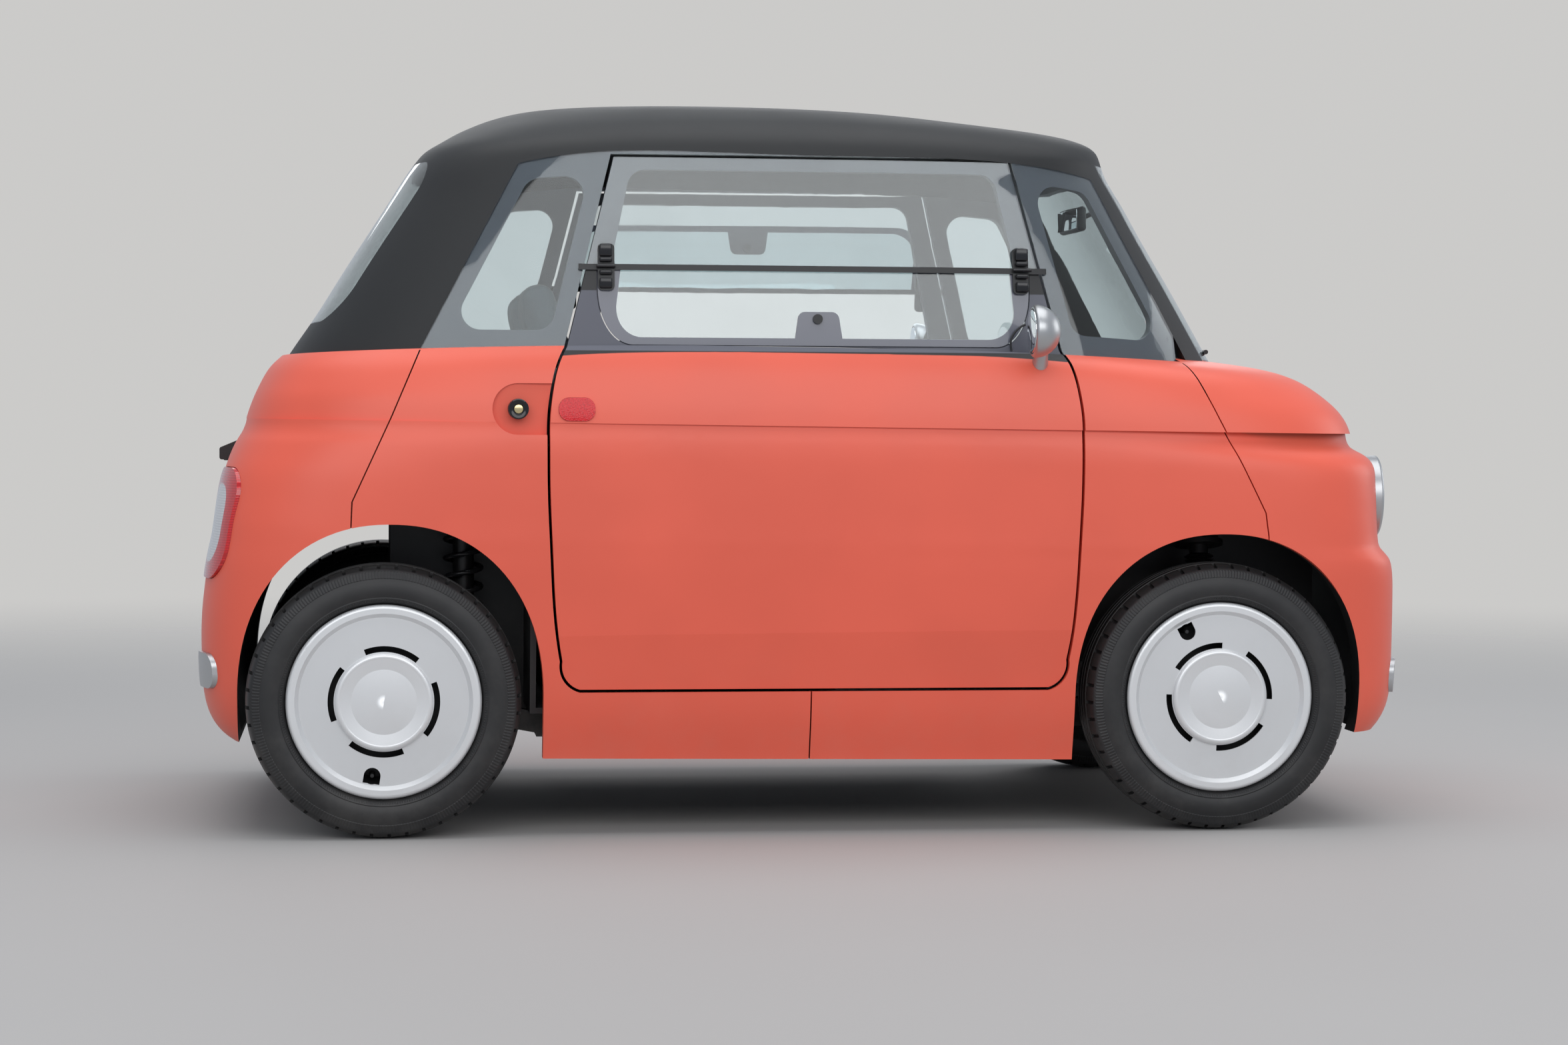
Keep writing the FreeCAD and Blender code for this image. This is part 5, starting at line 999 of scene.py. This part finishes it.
def sew_channels(pad, low, high):
    """Press two sewn lines along the pad, and one near each end, into its face"""
    middle = (low[1] + high[1]) / 2
    half = (high[1] - low[1]) / 2
    flat = high[2] - low[2] < high[0] - low[0]
    ends = (low[0], high[0]) if flat else (low[2], high[2])
    for vertex in pad.data.vertices:
        place = vertex.co
        along = place.x if flat else place.z
        gap_side = abs(abs(place.y - middle) - 0.58 * half)
        inset = min(along - ends[0], ends[1] - along)
        press = 0.007 * math.exp(-(gap_side / 0.008) ** 2)
        press = max(press, 0.005 * math.exp(-((inset - 0.055) / 0.008) ** 2))
        crown = vertex.normal.z if flat else vertex.normal.x
        if crown > 0.5:
            place -= vertex.normal * press


def build_cabin():
    hub = turned("pad_form", [(0.0, 0.0), (0.0, 0.046), (0.006, 0.0455), (0.012, 0.041), (0.0155, 0.030),
                              (0.017, 0.0)], 48, "Black trim")
    lean = math.radians(24)
    settle(hub, turn=(0, 0, math.radians(90)))
    settle(hub, location=(0.250, 0.262, 0.792), turn=(0, lean, 0))
    hub.name = "steering_pad"
    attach(hub, "steering_wheel")
    screen = rounded_block("instrument_display", (0.425, 0.142, 0.842), (0.447, 0.382, 0.938), 0.008,
                           "Black gloss")
    turn_about(screen, (0.436, 0, 0.842), -14)
    hood = rounded_block("instrument_hood", (0.432, 0.130, 0.828), (0.500, 0.394, 0.853), 0.009,
                         "Dark liner")
    vents = []
    for y in (-0.47, -0.06, 0.06, 0.47):
        vents.append(rounded_block("vent", (0.4600, y - 0.048, 0.742), (0.4705, y + 0.048, 0.792),
                                   0.004, "Black trim"))
        for level in (0.752, 0.762, 0.772, 0.782):
            vents.append(rounded_block("slat", (0.4570, y - 0.042, level - 0.0018),
                                       (0.4620, y + 0.042, level + 0.0018), 0.0008, "Black gloss", 2))
    vent = joined("air_vents", vents)
    tray = rounded_block("open_tray_lip", (0.440, -0.52, 0.690), (0.4705, 0.52, 0.702), 0.005,
                         "Woven cloth")
    buttons = []
    for index in range(4):
        y = 0.095 - 0.048 * index
        buttons.append(rounded_block("button", (0.4610, y - 0.020, 0.712), (0.4705, y + 0.020, 0.734),
                                     0.004, "Black gloss"))
    selector = joined("drive_buttons", buttons)
    stalks = []
    for reach in (-1, 1):
        stalks.append(tube("stalk", [(0.318, 0.262, 0.760), (0.312, 0.262 + reach * 0.050, 0.766),
                                     (0.306, 0.262 + reach * 0.105, 0.778),
                                     (0.302, 0.262 + reach * 0.135, 0.784)], 0.0075, "Black trim"))
    stalk = joined("column_stalks", stalks)
    mirror = rounded_block("inner_mirror", (0.655, -0.105, 1.275), (0.677, 0.105, 1.332), 0.010,
                           "Black trim")
    arm = tube("inner_mirror_arm", [(0.674, 0, 1.305), (0.688, 0, 1.311), (0.700, 0, 1.317),
                                    (0.711, 0, 1.321)], 0.006, "Black trim")
    face = rounded_block("inner_mirror_glass", (0.6525, -0.098, 1.281), (0.6555, 0.098, 1.326), 0.0012,
                         "Mirror silver", 2)
    for piece in (screen, hood, vent, tray, selector, stalk, mirror, arm, face):
        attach(piece, "chassis")


# Outer details

def build_outer_details():
    arm = tube("wiper_arm", [(0.934, 0.040, 0.978), (0.934, 0.040, 0.990), (0.926, 0.000, 0.995),
                             (0.915, -0.090, 1.001), (0.907, -0.180, 1.006)], 0.0045, "Black trim")
    blade = tube("wiper_blade", [(0.909, 0.050, 1.000), (0.908, -0.080, 1.001), (0.905, -0.180, 1.002),
                                 (0.898, -0.280, 1.002), (0.876, -0.390, 1.001)], 0.0050, "Black trim")
    lamp = rounded_block("plate_lamp", (-1.231, -0.045, 0.7560), (-1.212, 0.045, 0.7620), 0.002,
                         "Lamp lens", 2)
    for piece in (arm, blade, lamp):
        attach(piece, "chassis")


# Stage

LAMP_TARGET = (0.0, 0.0, 0.6)


def build_stage():
    reach = sizes().floor_reach
    bpy.ops.object.select_all(action="DESELECT")
    bpy.ops.mesh.primitive_grid_add(x_subdivisions=8, y_subdivisions=8, size=2 * reach,
                                    location=(0, 0, -0.001))
    floor = bpy.context.object
    floor.name = "studio_floor"
    material, tree, principled, place = shader("Studio floor")
    slow = node(tree, "ShaderNodeTexNoise", Scale=0.8, Detail=3.0)
    link(tree, place, slow.inputs["Vector"])
    tint = tint_of("floor")
    link(tree, mix_colour(tree, slow.outputs["Fac"], tinted(tint, 0.98), tinted(tint, 1.02)),
         principled.inputs["Base Color"])
    principled.inputs["Roughness"].default_value = 0.8
    principled.inputs["Specular IOR Level"].default_value = 0.2
    length = node(tree, "ShaderNodeVectorMath", operation="LENGTH")
    link(tree, place, length.inputs[0])
    fade = ramp_between(tree, length.outputs["Value"], 3.0, 8.5)
    clear = node(tree, "ShaderNodeBsdfTransparent")
    blend = node(tree, "ShaderNodeMixShader")
    link(tree, fade, blend.inputs[0])
    link(tree, principled.outputs[0], blend.inputs[1])
    link(tree, clear.outputs[0], blend.inputs[2])
    link(tree, blend.outputs[0], tree.nodes["Material Output"].inputs["Surface"])
    floor.data.materials.append(material)

    world = bpy.data.worlds.new("Studio")
    bpy.context.scene.world = world
    world.use_nodes = True
    tree = world.node_tree
    tree.nodes.clear()
    rays = node(tree, "ShaderNodeLightPath")
    seen = math_node(tree, "MAXIMUM", rays.outputs["Is Camera Ray"], rays.outputs["Is Transmission Ray"])
    plain = node(tree, "ShaderNodeBackground", Color=(0.60, 0.595, 0.585, 1.0), Strength=1.0)
    light = node(tree, "ShaderNodeBackground", Color=(0.80, 0.86, 0.95, 1.0), Strength=0.55)
    blend = node(tree, "ShaderNodeMixShader")
    link(tree, seen, blend.inputs[0])
    link(tree, light.outputs[0], blend.inputs[1])
    link(tree, plain.outputs[0], blend.inputs[2])
    out = node(tree, "ShaderNodeOutputWorld")
    link(tree, blend.outputs[0], out.inputs["Surface"])

    lamps = (
        ("overhead", (0.0, -0.5, 5.5), 7.0, 5.0, 185.0),
        ("camera_side", (0.0, -7.5, 4.0), 12.0, 3.5, 300.0),
        ("nose_fill", (7.0, 1.0, 2.6), 4.0, 3.0, 60.0),
        ("far_side", (0.5, 7.0, 4.0), 6.0, 3.0, 110.0),
    )
    for name, spot, width, height, power in lamps:
        data = bpy.data.lights.new(name, "AREA")
        data.shape = "RECTANGLE"
        data.size = width
        data.size_y = height
        data.energy = power
        lamp = bpy.data.objects.new(name, data)
        lamp.location = spot
        aim = Vector(LAMP_TARGET) - Vector(spot)
        lamp.rotation_euler = aim.to_track_quat("-Z", "Y").to_euler()
        bpy.context.scene.collection.objects.link(lamp)

    lens = bpy.data.cameras.new("photo_view")
    lens.lens = 75.466
    lens.sensor_width = 36.0
    lens.clip_end = 200.0
    camera = bpy.data.objects.new("photo_view", lens)
    camera.location = (-0.9090, -7.3230, 0.8695)
    camera.rotation_euler = tuple(math.radians(angle) for angle in (88.0562, -0.2730, -7.1374))
    bpy.context.scene.collection.objects.link(camera)
    bpy.context.scene.camera = camera
    bpy.context.scene.view_settings.view_transform = "Standard"


class MICROCAR_OT_finishes(bpy.types.Operator):
    """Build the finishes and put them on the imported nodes"""
    bl_idname = "microcar.finishes"
    bl_label = "Finishes"

    def execute(self, context):
        build_grain_group()
        build_dust_group()
        build_finishes()
        dress_nodes()
        return {"FINISHED"}


class MICROCAR_OT_tyres(bpy.types.Operator):
    """Turn the tyres and cut their tread"""
    bl_idname = "microcar.tyres"
    bl_label = "Tyres"

    def execute(self, context):
        build_tyres()
        return {"FINISHED"}


class MICROCAR_OT_valves(bpy.types.Operator):
    """Fit a valve stem in the mouth of each wheel cover"""
    bl_idname = "microcar.valves"
    bl_label = "Valve stems"

    def execute(self, context):
        build_valves()
        return {"FINISHED"}


class MICROCAR_OT_springs(bpy.types.Operator):
    """Wind the springs and fold the strut gaiters"""
    bl_idname = "microcar.springs"
    bl_label = "Springs and gaiters"

    def execute(self, context):
        build_springs()
        return {"FINISHED"}


class MICROCAR_OT_headlamps(bpy.types.Operator):
    """Fill the headlamps with bowl, ring and projector"""
    bl_idname = "microcar.headlamps"
    bl_label = "Headlamps"

    def execute(self, context):
        build_headlamps()
        return {"FINISHED"}


class MICROCAR_OT_door_fittings(bpy.types.Operator):
    """Fit lock rings, keys, mirror glasses and the flap strap"""
    bl_idname = "microcar.door_fittings"
    bl_label = "Door fittings"

    def execute(self, context):
        build_door_fittings()
        return {"FINISHED"}


class MICROCAR_OT_seats(bpy.types.Operator):
    """Fill and sew the seat pads and headrests"""
    bl_idname = "microcar.seats"
    bl_label = "Seats"

    def execute(self, context):
        build_seats()
        return {"FINISHED"}


class MICROCAR_OT_cabin(bpy.types.Operator):
    """Fit out the dashboard, the steering wheel and the inner mirror"""
    bl_idname = "microcar.cabin"
    bl_label = "Cabin"

    def execute(self, context):
        build_cabin()
        return {"FINISHED"}


class MICROCAR_OT_outer_details(bpy.types.Operator):
    """Fit the wiper and the plate lamp"""
    bl_idname = "microcar.outer_details"
    bl_label = "Outer details"

    def execute(self, context):
        build_outer_details()
        return {"FINISHED"}


class MICROCAR_OT_stage(bpy.types.Operator):
    """Build the floor, the lights, the world and the camera"""
    bl_idname = "microcar.stage"
    bl_label = "Stage"

    def execute(self, context):
        build_stage()
        return {"FINISHED"}


OPERATORS = (MICROCAR_OT_finishes, MICROCAR_OT_tyres, MICROCAR_OT_valves, MICROCAR_OT_springs,
             MICROCAR_OT_headlamps, MICROCAR_OT_door_fittings, MICROCAR_OT_seats, MICROCAR_OT_cabin,
             MICROCAR_OT_outer_details, MICROCAR_OT_stage)


class MICROCAR_PT_panel(bpy.types.Panel):
    """Buttons for each group of pieces"""
    bl_idname = "MICROCAR_PT_panel"
    bl_label = "Microcar"
    bl_space_type = "VIEW_3D"
    bl_region_type = "UI"
    bl_category = "Microcar"

    def draw(self, context):
        layout = self.layout
        for name in MicrocarColours.__annotations__:
            layout.prop(context.scene.microcar_colours, name)
        for name in MicrocarSizes.__annotations__:
            layout.prop(context.scene.microcar_sizes, name)
        for operator in OPERATORS:
            layout.operator(operator.bl_idname)


CLASSES = (MicrocarColours, MicrocarSizes, *OPERATORS, MICROCAR_PT_panel)


def register():
    for cls in CLASSES:
        bpy.utils.register_class(cls)
    bpy.types.Scene.microcar_colours = bpy.props.PointerProperty(type=MicrocarColours)
    bpy.types.Scene.microcar_sizes = bpy.props.PointerProperty(type=MicrocarSizes)


def unregister():
    del bpy.types.Scene.microcar_colours
    del bpy.types.Scene.microcar_sizes
    for cls in reversed(CLASSES):
        bpy.utils.unregister_class(cls)


def main():
    register()
    for operator in OPERATORS:
        group, name = operator.bl_idname.split(".")
        getattr(getattr(bpy.ops, group), name)()


if __name__ == "__main__":
    main()
